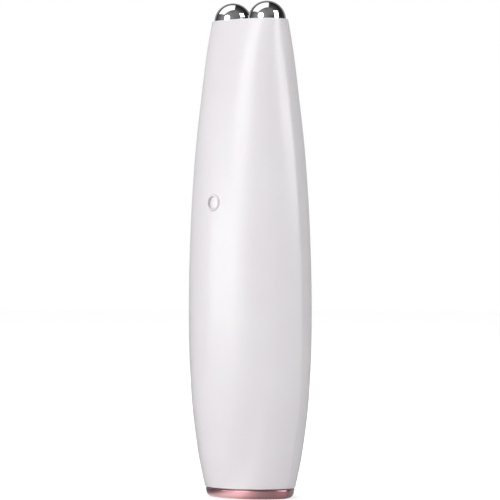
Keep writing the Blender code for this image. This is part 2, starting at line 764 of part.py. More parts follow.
def make_electrode_seals():
    bpy.ops.mesh.primitive_torus_add(major_segments=ROUND_STEPS, minor_segments=SEAL_SIDES,
                                     major_radius=SEAL_RING_RADIUS, minor_radius=SEAL_RADIUS,
                                     location=(0, 0, 0))
    torus = bpy.context.object
    torus.data.transform(Matrix.Translation((0, 0, SEAL_SEAT_Z + SEAT_GAP + SEAL_RADIUS)))
    mesh = taken_mesh(torus)
    placed_copies([f"{side}_electrode_seal" for side in SIDE_NAMES], mesh, ELECTRODE_PLACES, "grey_rubber")


def make_electrode_nuts():
    hexagon = rod("hexagon", NUT_RADIUS, (0, 0, NUT_TOP - NUT_HEIGHT), (0, 0, NUT_TOP), sides=6)
    hole = rod("nut_hole", STUD_RADIUS + SCREW_CLEARANCE, (0, 0, NUT_TOP - NUT_HEIGHT - CUT_OVERRUN),
               (0, 0, NUT_TOP + CUT_OVERRUN))
    cut(hexagon, hole)
    bpy.context.view_layer.update()
    mesh = taken_mesh(hexagon)
    bpy.data.objects.remove(hole, do_unlink=True)
    placed_copies([f"{side}_electrode_nut" for side in SIDE_NAMES], mesh, ELECTRODE_PLACES, "brass")


def make_electrode_terminals():
    """Ring tags under the carrier, each with a tail towards the front for its wire."""
    half_tail = TERMINAL_TAIL_WIDTH / 2
    start = math.asin(half_tail / TERMINAL_RADIUS)
    turns = [start + (math.tau - 2 * start) * step / ROUND_STEPS for step in range(ROUND_STEPS + 1)]
    outline = [(TERMINAL_RADIUS * math.sin(turn), TERMINAL_RADIUS * math.cos(turn)) for turn in turns]
    reach = TERMINAL_RADIUS + TERMINAL_TAIL_LENGTH
    outline += [(-half_tail, reach), (half_tail, reach)]
    tag = plate("tag", [outline, circle(0, 0, STUD_RADIUS + SCREW_CLEARANCE)], 0.0, TERMINAL_THICKNESS)
    bpy.context.view_layer.update()
    mesh = taken_mesh(tag)
    forward = Matrix.Rotation(math.pi, 4, "Z")
    lift = Matrix.Translation((0, 0, TERMINAL_TOP - TERMINAL_THICKNESS / 2))
    places = [lift @ place @ forward for place in ELECTRODE_PLACES]
    placed_copies([f"{side}_electrode_terminal" for side in SIDE_NAMES], mesh, places, "brass")


def make_electrode_carrier():
    heights = spread(CARRIER_BOTTOM, CARRIER_TOP, CARRIER_RINGS)
    carrier = loft("electrode_carrier", [(height, wall_at(height) + FIT_CLEARANCE) for height in heights],
                   "natural_plastic")
    tongue = box("carrier_tongue", (-TONGUE_WIDTH / 2, TONGUE_FRONT_Y, TONGUE_BOTTOM),
                 (TONGUE_WIDTH / 2, TONGUE_BACK_Y, CARRIER_BOTTOM + CUT_OVERRUN))
    join(carrier, tongue)
    for index, side in enumerate((-1, 1)):
        x = side * BALL_X
        pocket = turned(f"ball_pocket_{index}", pocket_profile(), None, BALL_STEPS,
                        Matrix.Translation((x, 0, BALL_Z)))
        cut(carrier, pocket)
        hole = rod(f"tongue_hole_{index}", SCREW_HOLE, (side * TONGUE_SCREW_X, far_side(-1), TONGUE_SCREW_Z),
                   (side * TONGUE_SCREW_X, 0, TONGUE_SCREW_Z), sides=SCREW_STEPS)
        cut(carrier, hole)
    return smooth(carrier)


def pocket_profile():
    """The room for one ball, its seal and its stud, cut from the carrier."""
    radius = BALL_RADIUS + POCKET_CLEARANCE
    seat_radius = SEAL_RING_RADIUS + SEAL_RADIUS + SEAT_GAP
    join_turn = math.pi - math.asin(seat_radius / radius)
    points = [(0.0, radius), (radius, radius)]
    first = math.pi / 2
    points += [(radius * math.sin(turn), radius * math.cos(turn))
               for turn in spread(first, join_turn, POCKET_RINGS)]
    seat = SEAL_SEAT_Z - BALL_Z
    hole = STUD_RADIUS + SCREW_CLEARANCE
    end = CARRIER_BOTTOM - BALL_Z - CUT_OVERRUN
    return points + [(seat_radius, seat), (hole, seat), (hole, end), (0.0, end)]


# Screws: one turned form for each length, copied to its places
def make_screws(name, bite, places, head_y, toward_front=True):
    """Pan-head screws along Y; the head stands in front of head_y, or behind it."""
    profile = [(0.0, SCREW_HEAD_HEIGHT), (SCREW_HEAD_RADIUS * SCREW_CROWN_SHARE, SCREW_HEAD_HEIGHT),
               (SCREW_HEAD_RADIUS, SCREW_HEAD_HEIGHT * SCREW_SIDE_SHARE), (SCREW_HEAD_RADIUS, 0.0),
               (SCREW_RADIUS, 0.0), (SCREW_RADIUS, -bite), (0.0, -bite)]
    source = turned(name + "_form", profile, None, SCREW_STEPS)
    bpy.context.view_layer.update()
    mesh = taken_mesh(source)
    side = 1 if toward_front else -1
    turn = Matrix.Rotation(math.radians(90 * side), 4, "X")
    y = head_y - side * SEAT_GAP
    names = [f"{name}_{index + 1}" for index in range(len(places))]
    placed_copies(names, mesh, [Matrix.Translation((x, y, z)) @ turn for x, z in places], "steel")


# Chassis: an upright plate with the cell's cradle, the motor's cradle and the posts of two boards
def make_chassis():
    half, foot, neck = CHASSIS_HALF_WIDTH, CHASSIS_FOOT_HALF_WIDTH, CHASSIS_NECK_HALF_WIDTH
    waist = CHASSIS_FOOT_TOP + half - foot
    right = [(foot, CHASSIS_BOTTOM), (foot, CHASSIS_FOOT_TOP), (half, waist), (half, CHASSIS_SHOULDER),
             (neck, CHASSIS_NECK), (neck, CHASSIS_TOP)]
    left = [(-x, z) for x, z in reversed(right)]
    outline = rounded(right + left, CHASSIS_CORNER)
    chassis = plate("chassis", [outline], CHASSIS_REAR_Y, CHASSIS_FRONT_Y, "black_plastic")
    before, behind = CHASSIS_FRONT_Y - CUT_OVERRUN, CHASSIS_REAR_Y + CUT_OVERRUN
    half_window = WIRE_WINDOW_WIDTH / 2
    cut(chassis, box("wire_window", (-half_window, before, WIRE_WINDOW_Z - WIRE_WINDOW_HEIGHT / 2),
                     (half_window, behind, WIRE_WINDOW_Z + WIRE_WINDOW_HEIGHT / 2)))
    for index, (x, z) in enumerate(WIRE_HOLES):
        cut(chassis, rod(f"wire_hole_{index}", WIRE_HOLE_RADIUS, (x, before, z), (x, behind, z),
                         sides=SCREW_STEPS))
    sink = CHASSIS_THICKNESS / 2
    root_y = CHASSIS_REAR_Y - sink
    for side in (-1, 1):
        outer = side * CRADLE_OUTER
        low_x, high_x = sorted((outer - side * CRADLE_WALL, outer))
        join(chassis, box(f"cell_wall_{side}", (low_x, root_y, CELL_BOTTOM),
                          (high_x, CHASSIS_REAR_Y + CRADLE_DEPTH, CELL_TOP)))
        inner = side * (MOTOR_RADIUS + BOOT_WALL + CELL_CLEARANCE)
        outer = inner + side * CRADLE_WALL
        low_x, high_x = sorted((inner, outer))
        join(chassis, box(f"motor_wall_{side}", (low_x, root_y, MOTOR_BOTTOM),
                          (high_x, CHASSIS_REAR_Y + CRADLE_DEPTH, MOTOR_BOTTOM + BOOT_LENGTH)))
        post = rod(f"charge_post_{side}", CHARGE_POST_RADIUS, (side * CHARGE_POST_X, root_y, CHARGE_POST_Z),
                   (side * CHARGE_POST_X, CHARGE_BOARD_FRONT_Y - SEAT_GAP, CHARGE_POST_Z), sides=SCREW_STEPS)
        join(chassis, post)
    stop_half = CELL_RADIUS * CELL_STOP_SHARE
    for label, low_z in (("low", CELL_BOTTOM - CELL_CLEARANCE - CRADLE_WALL),
                         ("high", CELL_TOP + CELL_TIP_HEIGHT + CELL_CLEARANCE)):
        join(chassis, box(f"cell_stop_{label}", (-stop_half, root_y, low_z),
                          (stop_half, CHASSIS_REAR_Y + CRADLE_DEPTH / 2, low_z + CRADLE_WALL)))
    for index, (x, z) in enumerate(BOSS_PLACES):
        pad = rod(f"boss_pad_{index}", BOSS_RADIUS, (x, root_y, z), (x, BOSS_START_Y - SEAT_GAP, z),
                  sides=BOSS_SIDES)
        join(chassis, pad)
        cut(chassis, rod(f"boss_hole_{index}", SCREW_HOLE, (x, CHASSIS_FRONT_Y - CUT_OVERRUN, z),
                         (x, CUT_OVERRUN, z), sides=SCREW_STEPS))
    for index, (x, z) in enumerate(BOARD_SCREW_PLACES):
        join(chassis, rod(f"board_post_{index}", CHARGE_POST_RADIUS, (x, CHASSIS_FRONT_Y + sink, z),
                          (x, BOARD_BACK_Y + SEAT_GAP, z), sides=SCREW_STEPS))
        cut(chassis, rod(f"board_hole_{index}", SCREW_HOLE, (x, BOARD_BACK_Y - CUT_OVERRUN, z),
                         (x, CUT_OVERRUN, z), sides=SCREW_STEPS))
    for side in (-1, 1):
        x = side * TONGUE_SCREW_X
        cut(chassis, rod(f"chassis_tongue_hole_{side}", SCREW_HOLE,
                         (x, CHASSIS_FRONT_Y - CUT_OVERRUN, TONGUE_SCREW_Z),
                         (x, CUT_OVERRUN, TONGUE_SCREW_Z), sides=SCREW_STEPS))
        x = side * CHARGE_POST_X
        cut(chassis, rod(f"charge_hole_{side}", SCREW_HOLE,
                         (x, CHARGE_BOARD_FRONT_Y - SHORT_SCREW_BITE - CHARGE_BOARD_THICKNESS, CHARGE_POST_Z),
                         (x, CHARGE_BOARD_FRONT_Y + CUT_OVERRUN, CHARGE_POST_Z), sides=SCREW_STEPS))
    return chassis


# Circuit board and what is soldered on it
def make_circuit_board():
    outline = rounded(rectangle(BOARD_HALF_WIDTH, BOARD_BOTTOM, BOARD_TOP), BOARD_CORNER)
    holes = [circle(x, z, SCREW_HOLE, SCREW_STEPS) for x, z in BOARD_SCREW_PLACES]
    return plate("circuit_board", [outline] + holes, BOARD_BACK_Y, BOARD_FRONT_Y, "board_green")


def on_board(name, half_x, half_z, middle, tall, material):
    x, z = middle
    back = BOARD_FRONT_Y - SEAT_GAP
    return box(name, (x - half_x, back - tall, z - half_z), (x + half_x, back, z + half_z), material)


def make_board_parts():
    chip = on_board("control_chip", CHIP_WIDTH / 2, CHIP_WIDTH / 2, (0, CHIP_Z), CHIP_HEIGHT, "black_plastic")
    bevel(chip, COMPONENT_BEVEL, 1)
    back = BOARD_FRONT_Y - SEAT_GAP
    profile = [(COIL_RADIUS * wide, COIL_HEIGHT * high) for wide, high in COIL_PROFILE_SHARES]
    place = Matrix.Translation((0, back, COIL_Z)) @ Matrix.Rotation(math.radians(90), 4, "X")
    smooth(turned("boost_coil", profile, "ferrite", ROUND_STEPS, place))
    for index in range(CAPACITOR_COUNT):
        x = (index - (CAPACITOR_COUNT - 1) / 2) * CAPACITOR_PITCH
        capacitor = on_board(f"capacitor_{index + 1}", CAPACITOR_WIDTH / 2, CAPACITOR_LENGTH / 2,
                             (x, CAPACITOR_Z), CAPACITOR_HEIGHT, "capacitor_tan")
        bevel(capacitor, COMPONENT_BEVEL, 1)


# Power button, the cup that keeps it, and the switch behind it
def along_y(z, y):
    """Stands a turned piece on its side: its +Z end points out of the front."""
    return Matrix.Translation((0, y, z)) @ Matrix.Rotation(math.radians(90), 4, "X")


def make_power_button():
    """A raised ring round a dished disc, then the flange behind the wall and the stem."""
    top = FLANGE_BACK_Y - BUTTON_TOP_Y
    dish = BUTTON_RADIUS - BUTTON_RIM
    crown = BUTTON_RADIUS - BUTTON_RIM / 2
    half = BUTTON_RIM / 2
    rim = [(crown + half * math.cos(turn), top - half + half * math.sin(turn))
           for turn in spread(math.pi, 0.0, BUTTON_RIM_STEPS)]
    floor = top - BUTTON_DISH
    profile = [(0.0, floor), (dish - BUTTON_EDGE, floor)] + rim
    profile += [(BUTTON_RADIUS, FLANGE_THICKNESS), (FLANGE_RADIUS, FLANGE_THICKNESS), (FLANGE_RADIUS, 0.0),
                (STEM_RADIUS, 0.0), (STEM_RADIUS, FLANGE_BACK_Y - STEM_TIP_Y),
                (0.0, FLANGE_BACK_Y - STEM_TIP_Y)]
    return turned("power_button", profile, "white_button", LARGE_ROUND_STEPS,
                  along_y(BUTTON_Z, FLANGE_BACK_Y))


def make_button_retainer():
    """A cup on the landing: its wall surrounds the flange, its floor stops it from falling in."""
    inner = FLANGE_RADIUS + BUTTON_CLEARANCE
    outer = inner + RETAINER_WALL
    depth = FLANGE_THICKNESS + BUTTON_TRAVEL + 2 * SEAT_GAP
    bottom = -depth - RETAINER_FLOOR
    hole = STEM_RADIUS + BUTTON_CLEARANCE
    profile = [(outer, 0.0), (outer, bottom), (hole, bottom), (hole, -depth), (inner, -depth), (inner, 0.0)]
    return turned("button_retainer", profile, "natural_plastic", LARGE_ROUND_STEPS,
                  along_y(BUTTON_Z, LANDING_Y + SEAT_GAP))


def make_switch():
    half = SWITCH_WIDTH / 2
    switch = box("tactile_switch", (-half, SWITCH_FRONT_Y, BUTTON_Z - half),
                 (half, SWITCH_BACK_Y, BUTTON_Z + half), "black_plastic")
    bevel(switch, SWITCH_BEVEL, 1)
    bore = rod("plunger_bore", PLUNGER_RADIUS + SCREW_CLEARANCE,
               (0, SWITCH_FRONT_Y - CUT_OVERRUN, BUTTON_Z),
               (0, SWITCH_FRONT_Y + PLUNGER_BURIED + PLUNGER_SLACK, BUTTON_Z))
    cut(switch, bore)
    reach = PLUNGER_REACH + PLUNGER_BURIED
    edge = SWITCH_BEVEL / 2
    profile = [(0.0, reach), (PLUNGER_RADIUS - edge, reach), (PLUNGER_RADIUS, reach - edge),
               (PLUNGER_RADIUS, 0.0), (0.0, 0.0)]
    turned("switch_plunger", profile, "natural_plastic", ROUND_STEPS,
           along_y(BUTTON_Z, SWITCH_FRONT_Y + PLUNGER_BURIED))


# Battery cell and its strap
def make_battery():
    tip = CELL_TOP + CELL_TIP_HEIGHT
    profile = [(0.0, tip), (CELL_TIP_RADIUS, tip), (CELL_TIP_RADIUS, CELL_TOP),
               (CELL_RADIUS - CELL_EDGE, CELL_TOP), (CELL_RADIUS, CELL_TOP - CELL_EDGE),
               (CELL_RADIUS, CELL_BOTTOM + CELL_EDGE), (CELL_RADIUS - CELL_EDGE, CELL_BOTTOM),
               (0.0, CELL_BOTTOM)]
    smooth(turned("battery_cell", profile, "cell_wrap", LARGE_ROUND_STEPS,
                  Matrix.Translation((0, CELL_Y, 0))))


def make_battery_strap():
    """A half hoop over the cell whose feet run down inside the cradle's reach, glued to its walls."""
    inner = CRADLE_OUTER + SEAT_GAP
    outer = inner + STRAP_THICKNESS
    foot_y = CHASSIS_REAR_Y + SEAT_GAP
    turns = spread(0.0, math.pi, STRAP_STEPS)
    hoop_radius = CELL_RADIUS + SEAT_GAP
    shoulder = CHASSIS_REAR_Y + CRADLE_DEPTH + SEAT_GAP
    inside = [(inner, foot_y), (inner, shoulder)]
    inside += [(hoop_radius * math.cos(turn), CELL_Y + hoop_radius * math.sin(turn))
               for turn in turns if CELL_Y + hoop_radius * math.sin(turn) > shoulder]
    inside += [(-inner, shoulder), (-inner, foot_y)]
    thick = hoop_radius + STRAP_THICKNESS
    outside = [(-outer, foot_y), (-outer, shoulder + STRAP_THICKNESS)]
    outside += [(thick * math.cos(turn), CELL_Y + thick * math.sin(turn))
                for turn in reversed(turns) if CELL_Y + thick * math.sin(turn) > shoulder + STRAP_THICKNESS]
    outside += [(outer, shoulder + STRAP_THICKNESS), (outer, foot_y)]
    form = bmesh.new()
    low = STRAP_Z - STRAP_WIDTH / 2
    face = form.faces.new([form.verts.new((x, y, low)) for x, y in inside + outside])
    top = bmesh.ops.extrude_face_region(form, geom=[face])["geom"]
    moved = [part for part in top if isinstance(part, bmesh.types.BMVert)]
    bmesh.ops.translate(form, vec=(0, 0, STRAP_WIDTH), verts=moved)
    return add_object("battery_strap", mesh_from("battery_strap", form), "steel")


# Vibration motor: can, rubber boot, shaft and off-centre weight
def make_motor():
    place = Matrix.Translation((0, MOTOR_Y, 0))
    bore = SHAFT_RADIUS + SCREW_CLEARANCE
    room = MOTOR_TOP - SHAFT_BURIED - SEAT_GAP
    profile = [(0.0, room), (bore, room), (bore, MOTOR_TOP), (MOTOR_RADIUS - MOTOR_EDGE, MOTOR_TOP),
               (MOTOR_RADIUS, MOTOR_TOP - MOTOR_EDGE), (MOTOR_RADIUS, MOTOR_BOTTOM), (0.0, MOTOR_BOTTOM)]
    turned("motor_can", profile, "steel", ROUND_STEPS, place)
    inner = MOTOR_RADIUS + SEAT_GAP
    outer = inner + BOOT_WALL
    low, high = MOTOR_BOTTOM, MOTOR_BOTTOM + BOOT_LENGTH
    turned("motor_boot", [(outer, high), (outer, low), (inner, low), (inner, high)], "grey_rubber",
           ROUND_STEPS, place)
    shaft_low, shaft_high = MOTOR_TOP - SHAFT_BURIED, MOTOR_TOP + SHAFT_REACH
    turned("motor_shaft", [(0.0, shaft_high), (SHAFT_RADIUS, shaft_high), (SHAFT_RADIUS, shaft_low),
                           (0.0, shaft_low)], "steel", SCREW_STEPS, place)
    make_weight()


def make_weight():
    """A half disc with a hub that grips the shaft."""
    low = MOTOR_TOP + WEIGHT_GAP
    high = low + WEIGHT_HEIGHT
    weight = rod("eccentric_weight", WEIGHT_RADIUS, (0, MOTOR_Y, low), (0, MOTOR_Y, high), "brass")
    reach = WEIGHT_RADIUS + CUT_OVERRUN
    near = box("weight_cut", (-reach, MOTOR_Y - reach, low - CUT_OVERRUN),
               (reach, MOTOR_Y, high + CUT_OVERRUN))
    hub = rod("weight_hub", HUB_RADIUS, (0, MOTOR_Y, low), (0, MOTOR_Y, high))
    bore = rod("weight_bore", SHAFT_RADIUS + SCREW_CLEARANCE, (0, MOTOR_Y, low - CUT_OVERRUN),
               (0, MOTOR_Y, high + CUT_OVERRUN), sides=SCREW_STEPS)
    cut(weight, near)
    join(weight, hub)
    cut(weight, bore)


# Charging socket in the base, on its own small board
def make_charging():
    top = SOCKET_BOTTOM + SOCKET_LENGTH
    socket = socket_block("charge_socket", 0.0, SOCKET_BOTTOM, top, "steel")
    cut(socket, socket_block("socket_room", -SOCKET_WALL, SOCKET_BOTTOM - CUT_OVERRUN, top - SOCKET_BACK))
    low = SOCKET_BOTTOM + TONGUE_PLATE_SINK
    box("socket_tongue", (-TONGUE_PLATE_WIDTH / 2, -TONGUE_PLATE_DEPTH / 2, low),
        (TONGUE_PLATE_WIDTH / 2, TONGUE_PLATE_DEPTH / 2, top - SOCKET_BACK - SEAT_GAP), "black_plastic")
    outline = rounded(rectangle(CHARGE_BOARD_HALF_WIDTH, CHARGE_BOARD_BOTTOM, CHARGE_BOARD_TOP), BOARD_CORNER)
    holes = [circle(side * CHARGE_POST_X, CHARGE_POST_Z, SCREW_HOLE, SCREW_STEPS) for side in (-1, 1)]
    plate("charge_board", [outline] + holes, CHARGE_BOARD_BACK_Y, CHARGE_BOARD_FRONT_Y, "board_green")


# Wires: each is a curve through a few hand-set places, read at even steps
def smooth_route(points):
    places = [Vector(point) for point in points]
    places = [2 * places[0] - places[1]] + places + [2 * places[-1] - places[-2]]
    route = []
    for before, start, end, after in zip(places, places[1:], places[2:], places[3:]):
        for step in range(WIRE_STEPS):
            t = step / WIRE_STEPS
            slope, bend = end - before, 2 * before - 5 * start + 4 * end - after
            twist = 3 * start - before - 3 * end + after
            route.append((2 * start + slope * t + bend * t ** 2 + twist * t ** 3) / 2)
    return route + [places[-2]]


def wire(name, points, material):
    curve = bpy.data.curves.new(name, "CURVE")
    curve.dimensions = "3D"
    curve.bevel_depth = WIRE_RADIUS
    curve.bevel_resolution = WIRE_SIDES
    curve.use_fill_caps = True
    route = smooth_route(points)
    spline = curve.splines.new("POLY")
    spline.points.add(len(route) - 1)
    for point, place in zip(spline.points, route):
        point.co = (*place, 1.0)
    item = bpy.data.objects.new(name, curve)
    PEN.objects.link(item)
    curve.materials.append(FINISHES[material])
    return item


LIFT = 2 * WIRE_RADIUS
PAD_Y = BOARD_FRONT_Y - WIRE_END_GAP
OVER_BOARD_Y = BOARD_FRONT_Y - 2 * LIFT
SIDE_PAD_X = BOARD_HALF_WIDTH - LIFT - WIRE_RADIUS


def electrode_route(side):
    """From the tag's tail under the carrier, down past the tongue to the board's top."""
    x = side * BALL_X
    tail_y = -TERMINAL_RADIUS - TERMINAL_TAIL_LENGTH * TAIL_WIRE_SHARE
    start_z = TERMINAL_TOP - TERMINAL_THICKNESS - WIRE_END_GAP
    pad_x, pad_z = side * BOARD_HALF_WIDTH / 2, BOARD_TOP - 3 * LIFT
    return [(x, tail_y, start_z), (x, tail_y, start_z - 3 * LIFT),
            (x, (tail_y + OVER_BOARD_Y) / 2, (start_z + BOARD_TOP) / 2),
            (x, OVER_BOARD_Y, BOARD_TOP + 2 * LIFT), (pad_x, OVER_BOARD_Y, pad_z + LIFT),
            (pad_x, PAD_Y, pad_z)]


def through_hole(hole, pad_z):
    """The stretch from behind a wire hole, through it and round the board's edge to a pad."""
    hole_x, hole_z = hole
    side = math.copysign(1, hole_x)
    return [(hole_x, CHASSIS_REAR_Y + 2 * LIFT, hole_z), (hole_x, CHASSIS_REAR_Y, hole_z),
            (hole_x, CHASSIS_FRONT_Y - LIFT, hole_z),
            (hole_x - side * LIFT, OVER_BOARD_Y, (hole_z + pad_z) / 2),
            (side * SIDE_PAD_X, OVER_BOARD_Y, pad_z), (side * SIDE_PAD_X, PAD_Y, pad_z)]


def cell_route(end_z, up, hole, pad_z):
    """From one end of the cell, up or down and across behind the chassis."""
    hole_x, hole_z = hole
    near, far = CELL_WIRE_SHARES
    turn_z = end_z + up * 3 * LIFT
    start = [(0, CELL_Y, end_z + up * WIRE_END_GAP), (0, CELL_Y, end_z + up * (LIFT + WIRE_RADIUS)),
             (hole_x * near, CELL_Y - LIFT, turn_z), (hole_x * far, CELL_Y / 2, (turn_z + hole_z) / 2)]
    return start + through_hole(hole, pad_z)


def motor_route(start_x, hole, pad_z):
    """From a tag under the motor, down and across behind the chassis."""
    hole_x, hole_z = hole
    near, far = MOTOR_WIRE_SHARES
    end_z = MOTOR_BOTTOM - WIRE_END_GAP
    start = [(start_x, MOTOR_Y, end_z), (start_x, MOTOR_Y, (2 * end_z + hole_z) / 3),
             (start_x + hole_x * near, MOTOR_Y - LIFT, hole_z), (hole_x * far, MOTOR_Y - 2 * LIFT, hole_z)]
    return start + through_hole(hole, pad_z)


def charge_route(x):
    """From the charging board through the chassis window and up the front of the main board."""
    low_z, window_z = CHARGE_BOARD_TOP - 2 * LIFT, WIRE_WINDOW_Z
    front_y = CHARGE_BOARD_FRONT_Y - WIRE_END_GAP
    return [(x, front_y, low_z), (x, front_y - LIFT, low_z + WIRE_RADIUS),
            (x, (front_y + CHASSIS_REAR_Y) / 2, (low_z + window_z) / 2),
            (x, CHASSIS_REAR_Y, window_z - WIRE_RADIUS), (x, CHASSIS_FRONT_Y - LIFT, window_z),
            (x, OVER_BOARD_Y, BOARD_BOTTOM), (x, OVER_BOARD_Y, BOARD_BOTTOM + LIFT),
            (x, PAD_Y, BOARD_BOTTOM + 2 * LIFT)]


def make_wires():
    wire("left_electrode_wire", electrode_route(-1), "white_wire")
    wire("right_electrode_wire", electrode_route(1), "white_wire")
    low_hole, high_hole, motor_high, motor_low = WIRE_HOLES
    wire("cell_positive_wire", cell_route(CELL_TOP + CELL_TIP_HEIGHT, 1, high_hole, high_hole[1]),
         "red_wire")
    wire("cell_negative_wire", cell_route(CELL_BOTTOM, -1, low_hole, BOARD_BOTTOM + 3 * LIFT), "black_wire")
    tag_x = MOTOR_RADIUS / 3
    wire("motor_positive_wire", motor_route(-tag_x, motor_high, motor_high[1]), "red_wire")
    wire("motor_negative_wire", motor_route(tag_x, motor_low, motor_low[1]), "black_wire")
    wire("charge_positive_wire", charge_route(-2 * LIFT), "red_wire")
    wire("charge_negative_wire", charge_route(2 * LIFT), "black_wire")


def make_pen():
    make_front_shell()
    make_rear_shell()
    make_base_ring()
    make_base_seal()
    make_electrode("left_electrode", -BALL_X)
    make_electrode("right_electrode", BALL_X)
    make_electrode_carrier()
    make_electrode_seals()
    make_electrode_nuts()
    make_electrode_terminals()
    make_chassis()
    make_circuit_board()
    make_board_parts()
    make_power_button()
    make_button_retainer()
    make_switch()
    make_battery()
    make_battery_strap()
    make_motor()
    make_charging()
    make_screws("chassis_screw", BOSS_START_Y + SCREW_BITE - CHASSIS_FRONT_Y - SEAT_GAP, BOSS_PLACES,
                CHASSIS_FRONT_Y)
    make_screws("board_screw", CHASSIS_REAR_Y - BOARD_FRONT_Y - SEAT_GAP, BOARD_SCREW_PLACES, BOARD_FRONT_Y)
    tongue_places = [(side * TONGUE_SCREW_X, TONGUE_SCREW_Z) for side in (-1, 1)]
    make_screws("carrier_screw", CHASSIS_REAR_Y - TONGUE_FRONT_Y - SEAT_GAP, tongue_places, TONGUE_FRONT_Y)
    post_places = [(side * CHARGE_POST_X, CHARGE_POST_Z) for side in (-1, 1)]
    make_screws("charge_board_screw", CHARGE_BOARD_THICKNESS + SHORT_SCREW_BITE, post_places,
                CHARGE_BOARD_BACK_Y, toward_front=False)
    make_wires()


make_pen()
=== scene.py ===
import json
import math
import bpy
from mathutils import Matrix, Vector


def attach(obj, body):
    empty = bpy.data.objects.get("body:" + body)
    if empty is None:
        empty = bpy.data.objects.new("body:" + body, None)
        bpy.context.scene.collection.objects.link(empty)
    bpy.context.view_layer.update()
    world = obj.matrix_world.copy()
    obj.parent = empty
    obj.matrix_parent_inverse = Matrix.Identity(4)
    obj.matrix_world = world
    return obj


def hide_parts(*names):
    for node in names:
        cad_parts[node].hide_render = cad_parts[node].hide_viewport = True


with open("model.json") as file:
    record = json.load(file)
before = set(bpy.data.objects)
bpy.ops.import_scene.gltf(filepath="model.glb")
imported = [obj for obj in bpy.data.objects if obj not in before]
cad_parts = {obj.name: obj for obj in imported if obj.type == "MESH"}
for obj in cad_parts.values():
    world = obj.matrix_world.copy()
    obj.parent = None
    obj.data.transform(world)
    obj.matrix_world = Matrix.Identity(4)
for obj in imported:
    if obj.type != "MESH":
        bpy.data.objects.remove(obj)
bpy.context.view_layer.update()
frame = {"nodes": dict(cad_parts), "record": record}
print("frame loaded:", len(frame["nodes"]), "nodes")


# camera: looks at the front from its right, level with the middle of the pen
cameraView = {
    "azimuth": math.radians(44.4),   # turned from the front towards the right side
    "distance": 0.810,
    "height": 0.0624,
    "aimHeight": 0.0651,
    "lens": 220.8,
    "sensor": 36.0,
}
toCamera = Vector((math.sin(cameraView["azimuth"]), -math.cos(cameraView["azimuth"]), 0.0))
toRight = Vector((math.cos(cameraView["azimuth"]), math.sin(cameraView["azimuth"]), 0.0))
toTop = Vector((0.0, 0.0, 1.0))


def makeCamera():
    place = toCamera * cameraView["distance"] + toTop * cameraView["height"]
    aim = toTop * cameraView["aimHeight"] - place
    bpy.ops.object.camera_add(location=place, rotation=aim.to_track_quat("-Z", "Y").to_euler())
    camera = bpy.context.object
    camera.name = "photoCamera"
    camera.data.lens = cameraView["lens"]
    camera.data.sensor_width = cameraView["sensor"]
    camera.data.clip_end = 20.0
    bpy.context.scene.camera = camera


makeCamera()
print("camera placed")


# material nodes
def newFinish(name, colour, roughness, metallic=0.0):
    finish = bpy.data.materials.new(name)
    finish.use_nodes = True
    shader = finish.node_tree.nodes["Principled BSDF"]
    shader.inputs["Base Color"].default_value = (*colour, 1.0)
    shader.inputs["Roughness"].default_value = roughness
    shader.inputs["Metallic"].default_value = metallic
    return finish, shader


def addNode(finish, kind, **inputs):
    node = finish.node_tree.nodes.new(kind)
    for label, value in inputs.items():
        node.inputs[label.replace("_", " ")].default_value = value
    return node


def join(finish, output, target):
    finish.node_tree.links.new(output, target)


def objectPlace(finish, stretch=(1.0, 1.0, 1.0)):
    coordinates = finish.node_tree.nodes.new("ShaderNodeTexCoord")
    mapping = finish.node_tree.nodes.new("ShaderNodeMapping")
    mapping.inputs["Scale"].default_value = stretch
    join(finish, coordinates.outputs["Object"], mapping.inputs["Vector"])
    return mapping.outputs["Vector"]


def noiseOn(finish, place, scale, detail=3.0, roughness=0.5):
    noise = addNode(finish, "ShaderNodeTexNoise", Scale=scale, Detail=detail, Roughness=roughness)
    join(finish, place, noise.inputs["Vector"])
    return noise.outputs["Fac"]


def ramp(finish, factor, stops):
    stops = list(stops)
    node = finish.node_tree.nodes.new("ShaderNodeValToRGB")
    while len(node.color_ramp.elements) < len(stops):
        node.color_ramp.elements.new(0.5)
    for element, (position, colour) in zip(node.color_ramp.elements, stops):
        element.position = position
        element.color = (*colour, 1.0)
    join(finish, factor, node.inputs["Fac"])
    return node.outputs["Color"]


noiseReach = (0.3, 0.7)        # the range that most values of a noise lie in


def spreadTo(finish, factor, low, high):
    node = addNode(finish, "ShaderNodeMapRange")
    node.inputs["From Min"].default_value, node.inputs["From Max"].default_value = noiseReach
    node.inputs["To Min"].default_value = low
    node.inputs["To Max"].default_value = high
    join(finish, factor, node.inputs["Value"])
    return node.outputs["Result"]


def bump(finish, shader, height, distance):
    node = addNode(finish, "ShaderNodeBump", Strength=1.0, Distance=distance)
    join(finish, height, node.inputs["Height"])
    join(finish, node.outputs["Normal"], shader.inputs["Normal"])


# finishes that show from outside
pearl = {
    "dark": (0.815, 0.780, 0.808),
    "light": (0.838, 0.808, 0.832),
    "roughness": 0.38,
    "coat": 0.60,
    "coatRoughness": 0.25,
    "fleckScale": 2600.0,       # flecks of about 0.4 mm
    "cloudScale": 70.0,         # slow drift of tone over about 15 mm
    "fleckShare": 0.35,         # of the flecks in the tone, beside the whole of the drift
    "toneReach": (0.45, 0.90),
    "roughnessSpread": 0.03,
    "peelScale": 1500.0,
    "peelDepth": 0.0000012,
}


